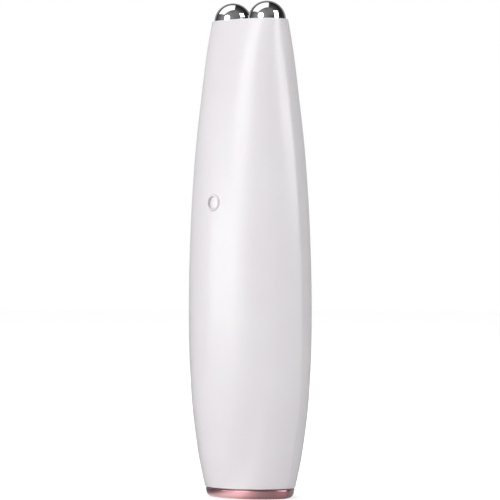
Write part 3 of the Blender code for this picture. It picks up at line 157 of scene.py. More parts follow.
def pearlFinish(name, setting):
    finish, shader = newFinish(name, setting["light"], setting["roughness"])
    place = objectPlace(finish)
    cloud = noiseOn(finish, place, setting["cloudScale"], 2.0)
    fleck = noiseOn(finish, place, setting["fleckScale"], 4.0, 0.6)
    both = addNode(finish, "ShaderNodeMath")
    both.operation = "MULTIPLY_ADD"
    join(finish, fleck, both.inputs[0])
    both.inputs[1].default_value = setting["fleckShare"]
    join(finish, cloud, both.inputs[2])
    tone = ramp(finish, both.outputs[0], zip(setting["toneReach"], (setting["dark"], setting["light"])))
    join(finish, tone, shader.inputs["Base Color"])
    spread = setting["roughnessSpread"]
    rough = spreadTo(finish, fleck, setting["roughness"] - spread, setting["roughness"] + spread)
    join(finish, rough, shader.inputs["Roughness"])
    shader.inputs["Coat Weight"].default_value = setting["coat"]
    shader.inputs["Coat Roughness"].default_value = setting["coatRoughness"]
    peel = noiseOn(finish, place, setting["peelScale"], 2.0)
    bump(finish, shader, peel, setting["peelDepth"])
    return finish


buttonPearl = {**pearl, "roughness": 0.30, "coat": 0.80, "coatRoughness": 0.14}

chrome = {
    "colour": (0.82, 0.82, 0.83),
    "roughness": 0.035,
    "hazeScale": 160.0,
    "scratchScale": 900.0,
    "scratchStretch": (1.0, 1.0, 9.0),
    "scratchDepth": 0.0000003,
    "dullest": 0.97,            # share of the colour where the haze is thickest
}


def chromeFinish(name, setting):
    finish, shader = newFinish(name, setting["colour"], setting["roughness"], 1.0)
    place = objectPlace(finish)
    haze = noiseOn(finish, place, setting["hazeScale"], 4.0, 0.6)
    join(finish, spreadTo(finish, haze, setting["roughness"] - 0.01, setting["roughness"] + 0.02),
         shader.inputs["Roughness"])
    dull = [value * setting["dullest"] for value in setting["colour"]]
    tone = ramp(finish, haze, zip(noiseReach, (dull, setting["colour"])))
    join(finish, tone, shader.inputs["Base Color"])
    streak = noiseOn(finish, objectPlace(finish, setting["scratchStretch"]), setting["scratchScale"])
    bump(finish, shader, streak, setting["scratchDepth"])
    return finish


roseGold = {
    "dark": (0.47, 0.155, 0.175),
    "light": (0.54, 0.190, 0.210),
    "roughness": 0.44,
    "coat": 1.0,
    "coatRoughness": 0.20,
    "coatBend": 2.4,            # a dense lacquer, so its shine is pale beside the metal's pink
    "anisotropy": 0.80,         # turned metal spreads its gloss across the turning lines
    "anisotropyTurn": 0.25,     # a quarter turn from the tangent
    "cloudScale": 120.0,
    "toneReach": (0.30, 0.65),
    "brushScale": 500.0,
    "brushStretch": (0.05, 0.05, 6.0),   # polishing lines run round the ring
    "brushDepth": 0.0000012,
}


def roseGoldFinish(name, setting):
    finish, shader = newFinish(name, setting["light"], setting["roughness"], 1.0)
    lines = noiseOn(finish, objectPlace(finish, setting["brushStretch"]), setting["brushScale"], 4.0, 0.6)
    cloud = noiseOn(finish, objectPlace(finish), setting["cloudScale"], 2.0)
    tone = ramp(finish, cloud, zip(setting["toneReach"], (setting["dark"], setting["light"])))
    join(finish, tone, shader.inputs["Base Color"])
    join(finish, spreadTo(finish, lines, setting["roughness"] - 0.04, setting["roughness"] + 0.05),
         shader.inputs["Roughness"])
    bump(finish, shader, lines, setting["brushDepth"])
    shader.inputs["Coat Weight"].default_value = setting["coat"]
    shader.inputs["Coat Roughness"].default_value = setting["coatRoughness"]
    shader.inputs["Coat IOR"].default_value = setting["coatBend"]
    shader.inputs["Anisotropic"].default_value = setting["anisotropy"]
    shader.inputs["Anisotropic Rotation"].default_value = setting["anisotropyTurn"]
    around = finish.node_tree.nodes.new("ShaderNodeTangent")
    around.direction_type = "RADIAL"
    around.axis = "Z"
    join(finish, around.outputs["Tangent"], shader.inputs["Tangent"])
    return finish


# finishes inside: moulded plastic, metal, board, rubber
moulded = {
    "grain": 1800.0,
    "depth": 0.000004,
    "cloudScale": 140.0,
    "roughnessSpread": 0.06,
}


def mouldedFinish(name, dark, light, roughness, grain=moulded["grain"], depth=moulded["depth"]):
    finish, shader = newFinish(name, light, roughness)
    place = objectPlace(finish)
    speck = noiseOn(finish, place, grain, 3.0, 0.6)
    cloud = noiseOn(finish, place, moulded["cloudScale"], 2.0)
    join(finish, ramp(finish, cloud, zip(noiseReach, (dark, light))), shader.inputs["Base Color"])
    spread = moulded["roughnessSpread"]
    join(finish, spreadTo(finish, speck, roughness - spread, roughness + spread), shader.inputs["Roughness"])
    bump(finish, shader, speck, depth)
    return finish


drawnMetal = {
    "lineScale": 900.0,
    "lineStretch": (1.0, 1.0, 12.0),
    "lineDepth": 0.000002,
    "stainScale": 260.0,
    "toneReach": (0.30, 0.65),
    "roughnessSpread": 0.08,
}


def metalFinish(name, dark, light, roughness):
    finish, shader = newFinish(name, light, roughness, 1.0)
    lines = noiseOn(finish, objectPlace(finish, drawnMetal["lineStretch"]), drawnMetal["lineScale"], 4.0, 0.6)
    stain = noiseOn(finish, objectPlace(finish), drawnMetal["stainScale"])
    tone = ramp(finish, stain, zip(drawnMetal["toneReach"], (dark, light)))
    join(finish, tone, shader.inputs["Base Color"])
    spread = drawnMetal["roughnessSpread"]
    join(finish, spreadTo(finish, lines, roughness - spread, roughness + spread), shader.inputs["Roughness"])
    bump(finish, shader, lines, drawnMetal["lineDepth"])
    return finish


board = {
    "mask": (0.02, 0.16, 0.08),
    "between": ((0.012, 0.13, 0.06), (0.016, 0.15, 0.07)),
    "track": (0.05, 0.30, 0.13),
    "trackScale": 260.0,
    "trackWidth": 0.035,
    "trackDepth": 0.00002,
    "turn": math.radians(90),      # lays the tracks in the upright plane of the board
    "weaveScale": 3000.0,
    "roughness": 0.38,
    "roughnessReach": (0.32, 0.45),
    "coat": 0.4,
}


def boardFinish(name):
    finish, shader = newFinish(name, board["mask"], board["roughness"])
    place = objectPlace(finish)
    tracks = addNode(finish, "ShaderNodeTexBrick", Scale=board["trackScale"], Mortar_Size=board["trackWidth"])
    for label, colour in zip(("Color1", "Color2", "Mortar"), (*board["between"], board["track"])):
        tracks.inputs[label].default_value = (*colour, 1.0)
    turned = finish.node_tree.nodes.new("ShaderNodeMapping")
    turned.inputs["Rotation"].default_value = (board["turn"], 0.0, 0.0)
    join(finish, place, turned.inputs["Vector"])
    join(finish, turned.outputs["Vector"], tracks.inputs["Vector"])
    join(finish, tracks.outputs["Color"], shader.inputs["Base Color"])
    weave = noiseOn(finish, place, board["weaveScale"], 2.0)
    join(finish, spreadTo(finish, weave, *board["roughnessReach"]), shader.inputs["Roughness"])
    bump(finish, shader, tracks.outputs["Fac"], board["trackDepth"])
    shader.inputs["Coat Weight"].default_value = board["coat"]
    return finish


slotFinishes = {
    "pearl_white": pearlFinish("pearlLacquer", pearl),
    "white_button": pearlFinish("buttonLacquer", buttonPearl),
    "chrome": chromeFinish("polishedChrome", chrome),
    "rose_gold": roseGoldFinish("roseGoldPlating", roseGold),
    "natural_plastic": mouldedFinish("naturalPlastic", (0.66, 0.66, 0.65), (0.74, 0.74, 0.73), 0.50),
    "black_plastic": mouldedFinish("blackPlastic", (0.018, 0.018, 0.020), (0.035, 0.035, 0.038), 0.48),
    "rubber": mouldedFinish("greyRubber", (0.15, 0.15, 0.155), (0.22, 0.22, 0.225), 0.80),
    "board_green": boardFinish("boardGreen"),
    "ferrite": mouldedFinish("ferrite", (0.05, 0.05, 0.05), (0.10, 0.10, 0.10), 0.62, 2600.0, 0.00001),
    "capacitor_tan": mouldedFinish("capacitorTan", (0.48, 0.35, 0.22), (0.58, 0.45, 0.30), 0.50),
    "cell_wrap": mouldedFinish("cellWrap", (0.03, 0.17, 0.34), (0.05, 0.25, 0.46), 0.30),
    "steel": metalFinish("plainSteel", (0.50, 0.50, 0.51), (0.64, 0.64, 0.65), 0.30),
    "brass": metalFinish("plainBrass", (0.62, 0.46, 0.20), (0.77, 0.61, 0.31), 0.32),
    "red_wire": mouldedFinish("redInsulation", (0.48, 0.02, 0.02), (0.62, 0.04, 0.03), 0.45),
    "black_wire": mouldedFinish("blackInsulation", (0.02, 0.02, 0.02), (0.04, 0.04, 0.04), 0.45),
    "white_wire": mouldedFinish("whiteInsulation", (0.72, 0.72, 0.70), (0.82, 0.82, 0.80), 0.45),
}


def dressNodes():
    for part in frame["record"]["subparts"]:
        node = frame["nodes"][part["node"]]
        node.data.materials.clear()
        node.data.materials.append(slotFinishes[part["material_slot"]])


dressNodes()
print("finishes made:", len(slotFinishes))


# body form, the same as in the part: two superellipse faces that meet in a soft crease
body = {
    "rimHeight": 0.1257,
    "halfWidth": 0.0190,
    "halfDepth": 0.0143,
    "rimHalfWidth": 0.0117,
    "rimHalfDepth": 0.0065,
    # height, swell of the width, swell of the depth, crease drop, fullness power
    "stationShares": (
        (0.000, 0.211, 0.457, 0.26, 2.03),
        (0.022, 0.302, 0.533, 0.27, 2.03),
        (0.095, 0.597, 0.751, 0.31, 2.04),
        (0.215, 0.911, 0.918, 0.33, 2.05),
        (0.375, 1.000, 1.000, 0.31, 2.06),
        (0.557, 0.896, 0.962, 0.27, 2.07),
        (0.716, 0.667, 0.820, 0.23, 2.10),
        (0.851, 0.357, 0.551, 0.18, 2.22),
        (0.939, 0.139, 0.289, 0.12, 2.42),
        (1.000, 0.000, 0.000, 0.07, 2.60),
    ),
}
arcSamples = 400


def stationValue(column, share):
    stations = body["stationShares"]
    last = len(stations) - 1
    index = max(0, min(last - 1, sum(1 for station in stations if station[0] <= share) - 1))
    low, high = stations[index], stations[index + 1]
    width = high[0] - low[0]
    slopes = []
    for at in (index, index + 1):
        before, after = stations[max(at - 1, 0)], stations[min(at + 1, last)]
        slopes.append((after[column] - before[column]) / (after[0] - before[0]))
    t = (share - low[0]) / width
    start = (2 * t ** 3 - 3 * t ** 2 + 1) * low[column] + (t ** 3 - 2 * t ** 2 + t) * width * slopes[0]
    end = (3 * t ** 2 - 2 * t ** 3) * high[column] + (t ** 3 - t ** 2) * width * slopes[1]
    return start + end


def bodySize(height):
    share = min(max(height / body["rimHeight"], 0.0), 1.0)
    wide, deep, drop, power = [stationValue(column, share) for column in (1, 2, 3, 4)]
    halfWidth = body["rimHalfWidth"] + (body["halfWidth"] - body["rimHalfWidth"]) * wide
    halfDepth = body["rimHalfDepth"] + (body["halfDepth"] - body["rimHalfDepth"]) * deep
    return halfWidth, halfDepth, halfDepth * drop, power


def faceDepth(height, x, inset=0.0):
    halfWidth, halfDepth, drop, power = bodySize(height)
    fullDepth = halfDepth - inset + drop
    fullWidth = (halfWidth - inset) / (1 - (drop / fullDepth) ** power) ** (1 / power)
    lift = max(1 - abs(x / fullWidth) ** power, 0.0)
    return max(fullDepth * lift ** (1 / power) - drop, 0.0)


arcStore = {}


def faceArc(height, inset):       # points of one face and the run of the arc up to each, kept for reuse
    key = (round(height, 7), round(inset, 7))
    if key not in arcStore:
        halfWidth = bodySize(height)[0] - inset
        points, runs, run = [], [], 0.0
        for step in range(arcSamples + 1):
            x = halfWidth * math.cos(math.pi * step / arcSamples)
            depth = 0.0 if step in (0, arcSamples) else faceDepth(height, x, inset)
            if points:
                run += math.hypot(x - points[-1][0], depth - points[-1][1])
            points.append((x, depth))
            runs.append(run)
        arcStore[key] = (points, runs)
    return arcStore[key]


def arcPoint(height, inset, share):   # a place at a share of the face's arc, from the +X crease
    points, runs = faceArc(height, inset)
    goal = runs[-1] * share
    low, high = 0, arcSamples
    while high - low > 1:
        middle = (low + high) // 2
        if runs[middle] <= goal:
            low = middle
        else:
            high = middle
    gap = runs[high] - runs[low]
    t = (goal - runs[low]) / gap if gap else 0.0
    (x0, y0), (x1, y1) = points[low], points[high]
    return x0 + (x1 - x0) * t, y0 + (y1 - y0) * t


# hand tools
def selectOnly(*items):
    if bpy.context.object and bpy.context.object.mode != "OBJECT":
        bpy.ops.object.mode_set(mode="OBJECT")
    bpy.ops.object.select_all(action="DESELECT")
    for item in items:
        item.select_set(True)
    bpy.context.view_layer.objects.active = items[0]


def pickEdges(item, wanted):
    selectOnly(item)
    bpy.ops.object.mode_set(mode="EDIT")
    bpy.ops.mesh.select_mode(type="EDGE")
    bpy.ops.mesh.select_all(action="DESELECT")
    bpy.ops.object.mode_set(mode="OBJECT")
    points = item.data.vertices
    for edge in item.data.edges:
        edge.select = wanted(points[edge.vertices[0]].co, points[edge.vertices[1]].co)
    bpy.ops.object.mode_set(mode="EDIT")


weldGap = 0.000002


def finishMesh(item, angle=35):
    selectOnly(item)
    bpy.ops.object.mode_set(mode="EDIT")
    bpy.ops.mesh.select_all(action="SELECT")
    bpy.ops.mesh.remove_doubles(threshold=weldGap)
    bpy.ops.mesh.normals_make_consistent(inside=False)
    bpy.ops.object.mode_set(mode="OBJECT")
    bpy.ops.object.shade_smooth_by_angle(angle=math.radians(angle))


def cutAway(item, cutter):
    selectOnly(item)
    step = item.modifiers.new("cut", "BOOLEAN")
    step.operation = "DIFFERENCE"
    step.solver = "EXACT"
    step.object = cutter
    bpy.ops.object.modifier_apply(modifier=step.name)
    bpy.data.objects.remove(cutter, do_unlink=True)


def dress(item, slot, bodyName, node):
    item.data.materials.clear()
    item.data.materials.append(slotFinishes[slot])
    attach(item, bodyName)
    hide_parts(node)


def lathe(name, profile, steps):   # a small disc drawn out ring by ring along the profile
    radius, height = profile[0]
    bpy.ops.mesh.primitive_circle_add(vertices=steps, radius=radius, fill_type="NGON",
                                      location=(0, 0, height))
    item = bpy.context.object
    item.name = name
    selectOnly(item)
    bpy.ops.object.transform_apply(location=True, rotation=True, scale=True)
    bpy.ops.object.mode_set(mode="EDIT")
    bpy.ops.mesh.select_mode(type="EDGE")
    bpy.ops.mesh.select_all(action="SELECT")
    for newRadius, newHeight in profile[1:]:
        bpy.ops.mesh.extrude_edges_move(TRANSFORM_OT_translate={"value": (0, 0, newHeight - height)})
        scale = newRadius / radius
        bpy.ops.transform.resize(value=(scale, scale, 1.0), center_override=(0, 0, newHeight))
        radius, height = newRadius, newHeight
    bpy.ops.mesh.edge_face_add()
    bpy.ops.object.mode_set(mode="OBJECT")
    return item


# housing shells
shell = {
    "bottom": 0.0027,
    "wall": 0.0016,
    "lip": 0.0003,
    "lipTaper": 0.0110,
    "edge": 0.00012,          # rounding of the parting edges, the rim and the seam
    "edgeSteps": 3,
    "edgeAngle": math.radians(50),
    "columns": 88,
    "rows": 132,
    "buttonHoleRadius": 0.00224,
    "holeSides": 96,
    "holeDepth": 0.0120,      # length of the cutter, centred at holeFront in front of the axis
    "holeFront": 0.0140,
}


def wallAt(height):
    share = min(max((body["rimHeight"] - height) / shell["lipTaper"], 0.0), 1.0)
    return shell["lip"] + (shell["wall"] - shell["lip"]) * math.sin(share * math.pi / 2)


def shellSkin(name, side, insetAt):
    bpy.ops.mesh.primitive_grid_add(x_subdivisions=shell["columns"], y_subdivisions=shell["rows"],
                                    size=1.0)
    skin = bpy.context.object
    skin.name = name
    for point in skin.data.vertices:
        across, up = 0.5 - point.co.x, point.co.y + 0.5
        height = shell["bottom"] + (body["rimHeight"] - shell["bottom"]) * up
        x, depth = arcPoint(height, insetAt(height), across)
        point.co = (x, side * depth, height)
    return skin


def makeShell(name, side):
    outer = shellSkin(name, side, lambda height: 0.0)
    inner = shellSkin(name + "Inner", side, wallAt)
    selectOnly(outer, inner)
    bpy.ops.object.join()
    bpy.ops.object.mode_set(mode="EDIT")
    bpy.ops.mesh.select_mode(type="EDGE")
    bpy.ops.mesh.select_all(action="DESELECT")
    bpy.ops.mesh.select_non_manifold(extend=False, use_wire=False, use_multi_face=False,
                                     use_non_contiguous=False, use_verts=False)
    bpy.ops.mesh.bridge_edge_loops()
    bpy.ops.mesh.select_all(action="SELECT")
    bpy.ops.mesh.normals_make_consistent(inside=False)
    bpy.ops.mesh.select_all(action="DESELECT")
    bpy.ops.mesh.edges_select_sharp(sharpness=shell["edgeAngle"])
    bpy.ops.mesh.bevel(offset=shell["edge"], segments=shell["edgeSteps"], profile=0.5, clamp_overlap=True)
    bpy.ops.object.mode_set(mode="OBJECT")
    return outer


button = {
    "height": 0.0774,
    "radius": 0.00218,
    "rise": 0.00036,
    "crest": 0.00182,           # radius at the top of the raised ring
    "crestRound": 0.00013,
    "crestSteps": 8,
    "dish": 0.00080,
    "disc": 0.00155,            # radius of the flat middle
    "poleRadius": 0.0002,
    "discShares": (0.5, 0.85),
    "discCrown": (0.00004, 0.00003, 0.0),    # how far it rises at the pole and at those shares
    "discRound": 0.00012,
    "discSteps": 4,
    "flankTurn": math.radians(30),
    "flankSteps": 4,
    "flangeRadius": 0.0032,
    "flange": 0.0008,
    "flangeBack": 0.0031,       # from the housing's face to the flange's back
    "stemRadius": 0.0012,
    "stemLength": 0.0007,
    "steps": 96,
}


def makeHousing():
    front = makeShell("frontShell", -1)
    bpy.ops.mesh.primitive_cylinder_add(vertices=shell["holeSides"], radius=shell["buttonHoleRadius"],
                                        depth=shell["holeDepth"],
                                        location=(0, -shell["holeFront"], button["height"]),
                                        rotation=(math.radians(90), 0, 0))
    cutAway(front, bpy.context.object)
    finishMesh(front)
    dress(front, "pearl_white", "housing", "front_shell")
    rear = makeShell("rearShell", 1)
    finishMesh(rear)
    dress(rear, "pearl_white", "housing", "rear_shell")


makeHousing()
print("housing shells made")


# power button: raised ring, dished disc, flange behind the wall and stem
def makeButton():
    top = button["flangeBack"] + button["rise"]
    floor = top - button["dish"]
    radii = (button["poleRadius"], *(button["disc"] * share for share in button["discShares"]))
    profile = [(radius, floor + crown) for radius, crown in zip(radii, button["discCrown"])]
    for step in range(button["discSteps"] + 1):    # out of the flat middle, up the wall, over the crest
        turn = math.pi / 2 * step / button["discSteps"]
        profile.append((button["disc"] + button["discRound"] * math.sin(turn),
                        floor + button["discRound"] * (1 - math.cos(turn))))
    for step in range(button["crestSteps"] + 1):
        turn = math.pi / 2 * (1 - step / button["crestSteps"])
        profile.append((button["crest"] - button["crestRound"] * math.sin(turn),
                        top - button["crestRound"] * (1 - math.cos(turn))))
    for step in range(1, button["flankSteps"] + 1):    # then down a plain cone to the housing's face
        turn = button["flankTurn"] * step / button["flankSteps"]
        profile.append((button["crest"] + button["crestRound"] * math.sin(turn),
                        top - button["crestRound"] * (1 - math.cos(turn))))
    profile.append((button["radius"], button["flangeBack"]))
    profile += [(button["radius"], button["flange"]), (button["flangeRadius"], button["flange"]),
                (button["flangeRadius"], 0.0), (button["stemRadius"], 0.0),
                (button["stemRadius"], -button["stemLength"])]
    piece = lathe("powerButton", profile, button["steps"])
    back = -faceDepth(button["height"], 0.0) + button["flangeBack"]
    selectOnly(piece)
    piece.rotation_euler = (math.radians(90), 0, 0)
    piece.location = (0, back, button["height"])
    bpy.ops.object.transform_apply(location=True, rotation=True, scale=True)
    finishMesh(piece, 40)
    dress(piece, "white_button", "button", "power_button")


makeButton()
print("power button made")


# rose-gold base ring
ring = {
    "top": 0.0025,
    "inset": 0.0001,
    "bottomEdge": 0.0010,
    "topEdge": 0.00050,
    "bottomSteps": 9,
    "topSteps": 4,
    "spigotInset": 0.00175,
    "spigotTop": 0.0069,
    "spigotWall": 0.0011,
    "floor": 0.0015,
    "around": 208,
    "mouthHalfWidth": 0.00462,
    "mouthHalfDepth": 0.00178,
    "mouthReach": (-0.002, 0.004),    # from below the base to above the ring's floor
    "mouthFullness": 0.98,            # share of the half depth that its ends are rounded by
    "mouthSteps": 12,
}


def outlinePlace(height, inset, share):    # a share of the whole outline, from the +X crease
    side = 1 if share < 0.5 else -1
    x, depth = arcPoint(height, inset, share * 2 if share < 0.5 else 2 - share * 2)
    return x, side * depth


def loftPiece(name, levels, around):       # a cylinder cut into rings, each set to the body's outline
    bpy.ops.mesh.primitive_cylinder_add(vertices=around, radius=1.0, depth=2.0, end_fill_type="NGON")
    piece = bpy.context.object
    piece.name = name
    pickEdges(piece, lambda a, b: abs(a.z - b.z) > 1.0)
    bpy.ops.mesh.subdivide(number_cuts=len(levels) - 2)
    bpy.ops.object.mode_set(mode="OBJECT")
    for point in piece.data.vertices:
        share = math.atan2(point.co.y, point.co.x) / math.tau % 1.0
        share = round(share * around) / around % 1.0
        height, inset, shapeHeight = levels[round((point.co.z + 1) / 2 * (len(levels) - 1))]
        x, y = outlinePlace(shapeHeight, inset, share)
        point.co = (x, y, height)
    return piece


def makeMouth():      # the block that cuts the socket's mouth, with rounded ends
    low, high = ring["mouthReach"]
    halfDepth = ring["mouthHalfDepth"]
    bpy.ops.mesh.primitive_cube_add(size=2.0, location=(0, 0, (low + high) / 2),
                                    scale=(ring["mouthHalfWidth"], halfDepth, (high - low) / 2))
    block = bpy.context.object
    block.name = "mouth"
    selectOnly(block)
    bpy.ops.object.transform_apply(location=True, rotation=True, scale=True)
    pickEdges(block, lambda a, b: abs(a.z - b.z) > (high - low) / 2)
    bpy.ops.mesh.bevel(offset=halfDepth * ring["mouthFullness"], segments=ring["mouthSteps"], profile=0.5)
    bpy.ops.object.mode_set(mode="OBJECT")
    return block


def makeBaseRing():
    levels = []
    for step in range(ring["bottomSteps"] + 1):
        turn = math.pi / 2 * step / ring["bottomSteps"]
        height = ring["bottomEdge"] * (1 - math.cos(turn))
        levels.append((height, ring["inset"] + ring["bottomEdge"] * (1 - math.sin(turn)), height))
    straight = ring["top"] - ring["topEdge"]
    middle = (ring["bottomEdge"] + straight) / 2
    levels.append((middle, ring["inset"], middle))
    for step in range(ring["topSteps"] + 1):
        turn = math.pi / 2 * step / ring["topSteps"]
        height = straight + ring["topEdge"] * math.sin(turn)
        levels.append((height, ring["inset"] + ring["topEdge"] * (1 - math.cos(turn)), height))
    spigot = shell["bottom"]
    inner = ring["spigotInset"] + ring["spigotWall"]
    levels += [(ring["top"], ring["spigotInset"], spigot), (ring["spigotTop"], ring["spigotInset"], spigot),
               (ring["spigotTop"], inner, spigot), (ring["floor"], inner, spigot)]
    piece = loftPiece("baseRing", levels, ring["around"])
    cutAway(piece, makeMouth())
    finishMesh(piece, 30)
    dress(piece, "rose_gold", "housing", "base_ring")


makeBaseRing()
print("base ring made")


# ball electrodes, each with its stud
electrode = {
    "radius": 0.0050,
    "halfSpacing": 0.00625,
    "height": 0.1256,
    "studRadius": 0.0015,
    "studLength": 0.0082,
    "segments": 128,
    "rings": 72,
    "poleTurn": math.radians(1.0),    # the pole is closed by a disc this far round
}


def makeElectrodes():
    radius, start = electrode["radius"], electrode["poleTurn"]
    neck = math.pi - math.asin(electrode["studRadius"] / radius)
    profile = []
    for step in range(electrode["rings"] + 1):
        turn = start + (neck - start) * step / electrode["rings"]
        profile.append((radius * math.sin(turn), radius * math.cos(turn)))
    profile.append((electrode["studRadius"], profile[-1][1] - electrode["studLength"]))
    ball = lathe("leftBall", profile, electrode["segments"])
    selectOnly(ball)
    bpy.ops.object.duplicate()
    other = bpy.context.object
    other.name = "rightBall"
    for piece, side, node in ((ball, -1, "left_electrode"), (other, 1, "right_electrode")):
        selectOnly(piece)
        piece.location = (side * electrode["halfSpacing"], 0, electrode["height"])
        bpy.ops.object.transform_apply(location=True, rotation=True, scale=True)
        finishMesh(piece, 30)
        dress(piece, "chrome", "housing", node)


makeElectrodes()
print("electrodes made")


# studio: pale floor that gloss sees as a painted reflection with painted contact shadow, lamps placed as the
# balls mirror them, dark surround that only gloss sees
studio = {
    "floorRadius": 3.0,
    "floorSides": 96,
    "floorDrop": 0.00002,               # just under the base, so the two flat faces don't coincide
    "floorColour": (0.78, 0.78, 0.78),
    "floorGlow": (0.54, 0.90),          # near the pen and far from it, as the camera sees it
    "glowReach": (0.10, 0.80),          # from where to where it grows
    "paintedReflectionSpan": 0.040,            # painted reflection: what gloss sees in place of the floor, bright left of the pen for lit floor and dimmer right of it for the pen's shadow; width from left to right of the pen
    "paintedFloorReflection": ((0.0, 0.15), (0.15, 0.20), (0.215, 1.2), (0.29, 1.65), (0.40, 1.50), (0.475, 0.95),
                   (0.55, 0.62), (0.625, 0.55), (0.75, 0.42), (1.0, 0.32)),
    "contactSize": (0.0132, 0.0101),    # half width and half depth of the base
    "paintedContactShade": (0.70, 1.16),       # painted contact shadow: share of the painted reflection at the base's edge, and where it is full again
    "worldColour": (0.10, 0.10, 0.10),
    "surroundRadius": 2.2,
    "surroundSegments": 64,
    "surroundRings": 32,
    # for a direction in the camera's frame, brightness by cosine from it, 0 to 1 for -1 to 1
    "surroundLobes": (
        ((0.20, 0.75, 0.62), ((0.0, 0.06), (0.55, 0.045), (0.67, 0.018), (0.80, 0.03), (0.925, 0.08),
                              (0.965, 0.18), (1.0, 0.22))),
        ((-0.60, 0.37, 0.71), ((0.58, 0.0), (0.68, 0.09), (0.82, 0.16), (0.91, 0.25), (1.0, 0.30))),
        ((0.0, 0.0, -1.0), ((0.84, 0.0), (0.86, 0.33), (1.0, 0.33))),
    ),
    # in the camera's frame (right, up, near): direction, side, size, distance, radiance, height aimed at
    "lamps": {
        "overheadSoftbox": ((-0.32, 0.72, -0.12), (0.81, 0.36, -0.08), (1.06, 0.86), 0.90, 1.22, 0.1256),
        "roundKey": ((-0.60, 0.37, 0.71), (0.76, 0.0, 0.64), (0.60, 0.60), 0.95, 3.4, 0.1256),
        "rightStrip": ((0.815, 0.438, 0.380), (0.26, -0.09, -0.38), (0.42, 0.66), 0.90, 4.3, 0.1256),
        "lowLeft": ((-0.927, 0.0, 0.375), (0.375, 0.0, 0.927), (0.70, 0.20), 0.85, 3.8, 0.085),
        "lowFrontLeft": ((-0.707, 0.0, 0.707), (0.707, 0.0, 0.707), (0.50, 0.20), 0.85, 1.7, 0.085),
        "highFront": ((-0.45, 0.72, 0.53), (0.76, 0.0, 0.64), (0.60, 0.60), 0.90, 0.9, 0.08),
        "highRight": ((0.75, 0.60, 0.28), (0.28, 0.0, -0.75), (0.60, 0.60), 0.90, 0.45, 0.08),
        "highBack": ((0.0, 0.45, -0.89), (1.0, 0.0, 0.0), (0.50, 0.50), 0.90, 2.0, 0.08),
    },
    "softLamps": ("highFront", "highRight", "highBack"),     # light the surfaces, without a mirror image
}


def fromCameraFrame(vector):
    return toRight * vector[0] + toTop * vector[1] + toCamera * vector[2]


def largest(tree, *values):
    total = values[0]
    for value in values[1:]:
        step = tree.nodes.new("ShaderNodeMath")
        step.operation = "MAXIMUM"
        tree.links.new(total, step.inputs[0])
        tree.links.new(value, step.inputs[1])
        total = step.outputs[0]
    return total


def product(tree, first, second):
    step = tree.nodes.new("ShaderNodeMath")
    step.operation = "MULTIPLY"
    tree.links.new(first, step.inputs[0])
    tree.links.new(second, step.inputs[1])
    return step.outputs[0]


def alongAxis(tree, vector, axis):
    step = tree.nodes.new("ShaderNodeVectorMath")
    step.operation = "DOT_PRODUCT"
    step.inputs[1].default_value = axis
    tree.links.new(vector, step.inputs[0])
    return step.outputs["Value"]


def rampFrom(tree, value, low, high, stops):       # brightness for a value between low and high
    share = tree.nodes.new("ShaderNodeMapRange")
    share.inputs["From Min"].default_value = low
    share.inputs["From Max"].default_value = high
    tree.links.new(value, share.inputs["Value"])
    shades = tree.nodes.new("ShaderNodeValToRGB")
    while len(shades.color_ramp.elements) < len(stops):
        shades.color_ramp.elements.new(0.5)
    for element, (position, shade) in zip(shades.color_ramp.elements, stops):
        element.position = position
        element.color = (shade, shade, shade, 1.0)
    tree.links.new(share.outputs["Result"], shades.inputs["Fac"])
    return shades.outputs["Color"]


def makeWorld():
    world = bpy.data.worlds.new("studioWorld")
    bpy.context.scene.world = world
    world.use_nodes = True
    tree = world.node_tree
    tree.nodes.clear()
    output = tree.nodes.new("ShaderNodeOutputWorld")
    ambient = tree.nodes.new("ShaderNodeBackground")
    ambient.inputs["Color"].default_value = (*studio["worldColour"], 1.0)
    white = tree.nodes.new("ShaderNodeBackground")
    white.inputs["Color"].default_value = (1.0, 1.0, 1.0, 1.0)
    mix = tree.nodes.new("ShaderNodeMixShader")
    paths = tree.nodes.new("ShaderNodeLightPath").outputs
    straight = largest(tree, paths["Is Camera Ray"], paths["Is Glossy Ray"], paths["Is Transmission Ray"])
    tree.links.new(straight, mix.inputs["Fac"])
    tree.links.new(ambient.outputs["Background"], mix.inputs[1])
    tree.links.new(white.outputs["Background"], mix.inputs[2])
    tree.links.new(mix.outputs["Shader"], output.inputs["Surface"])


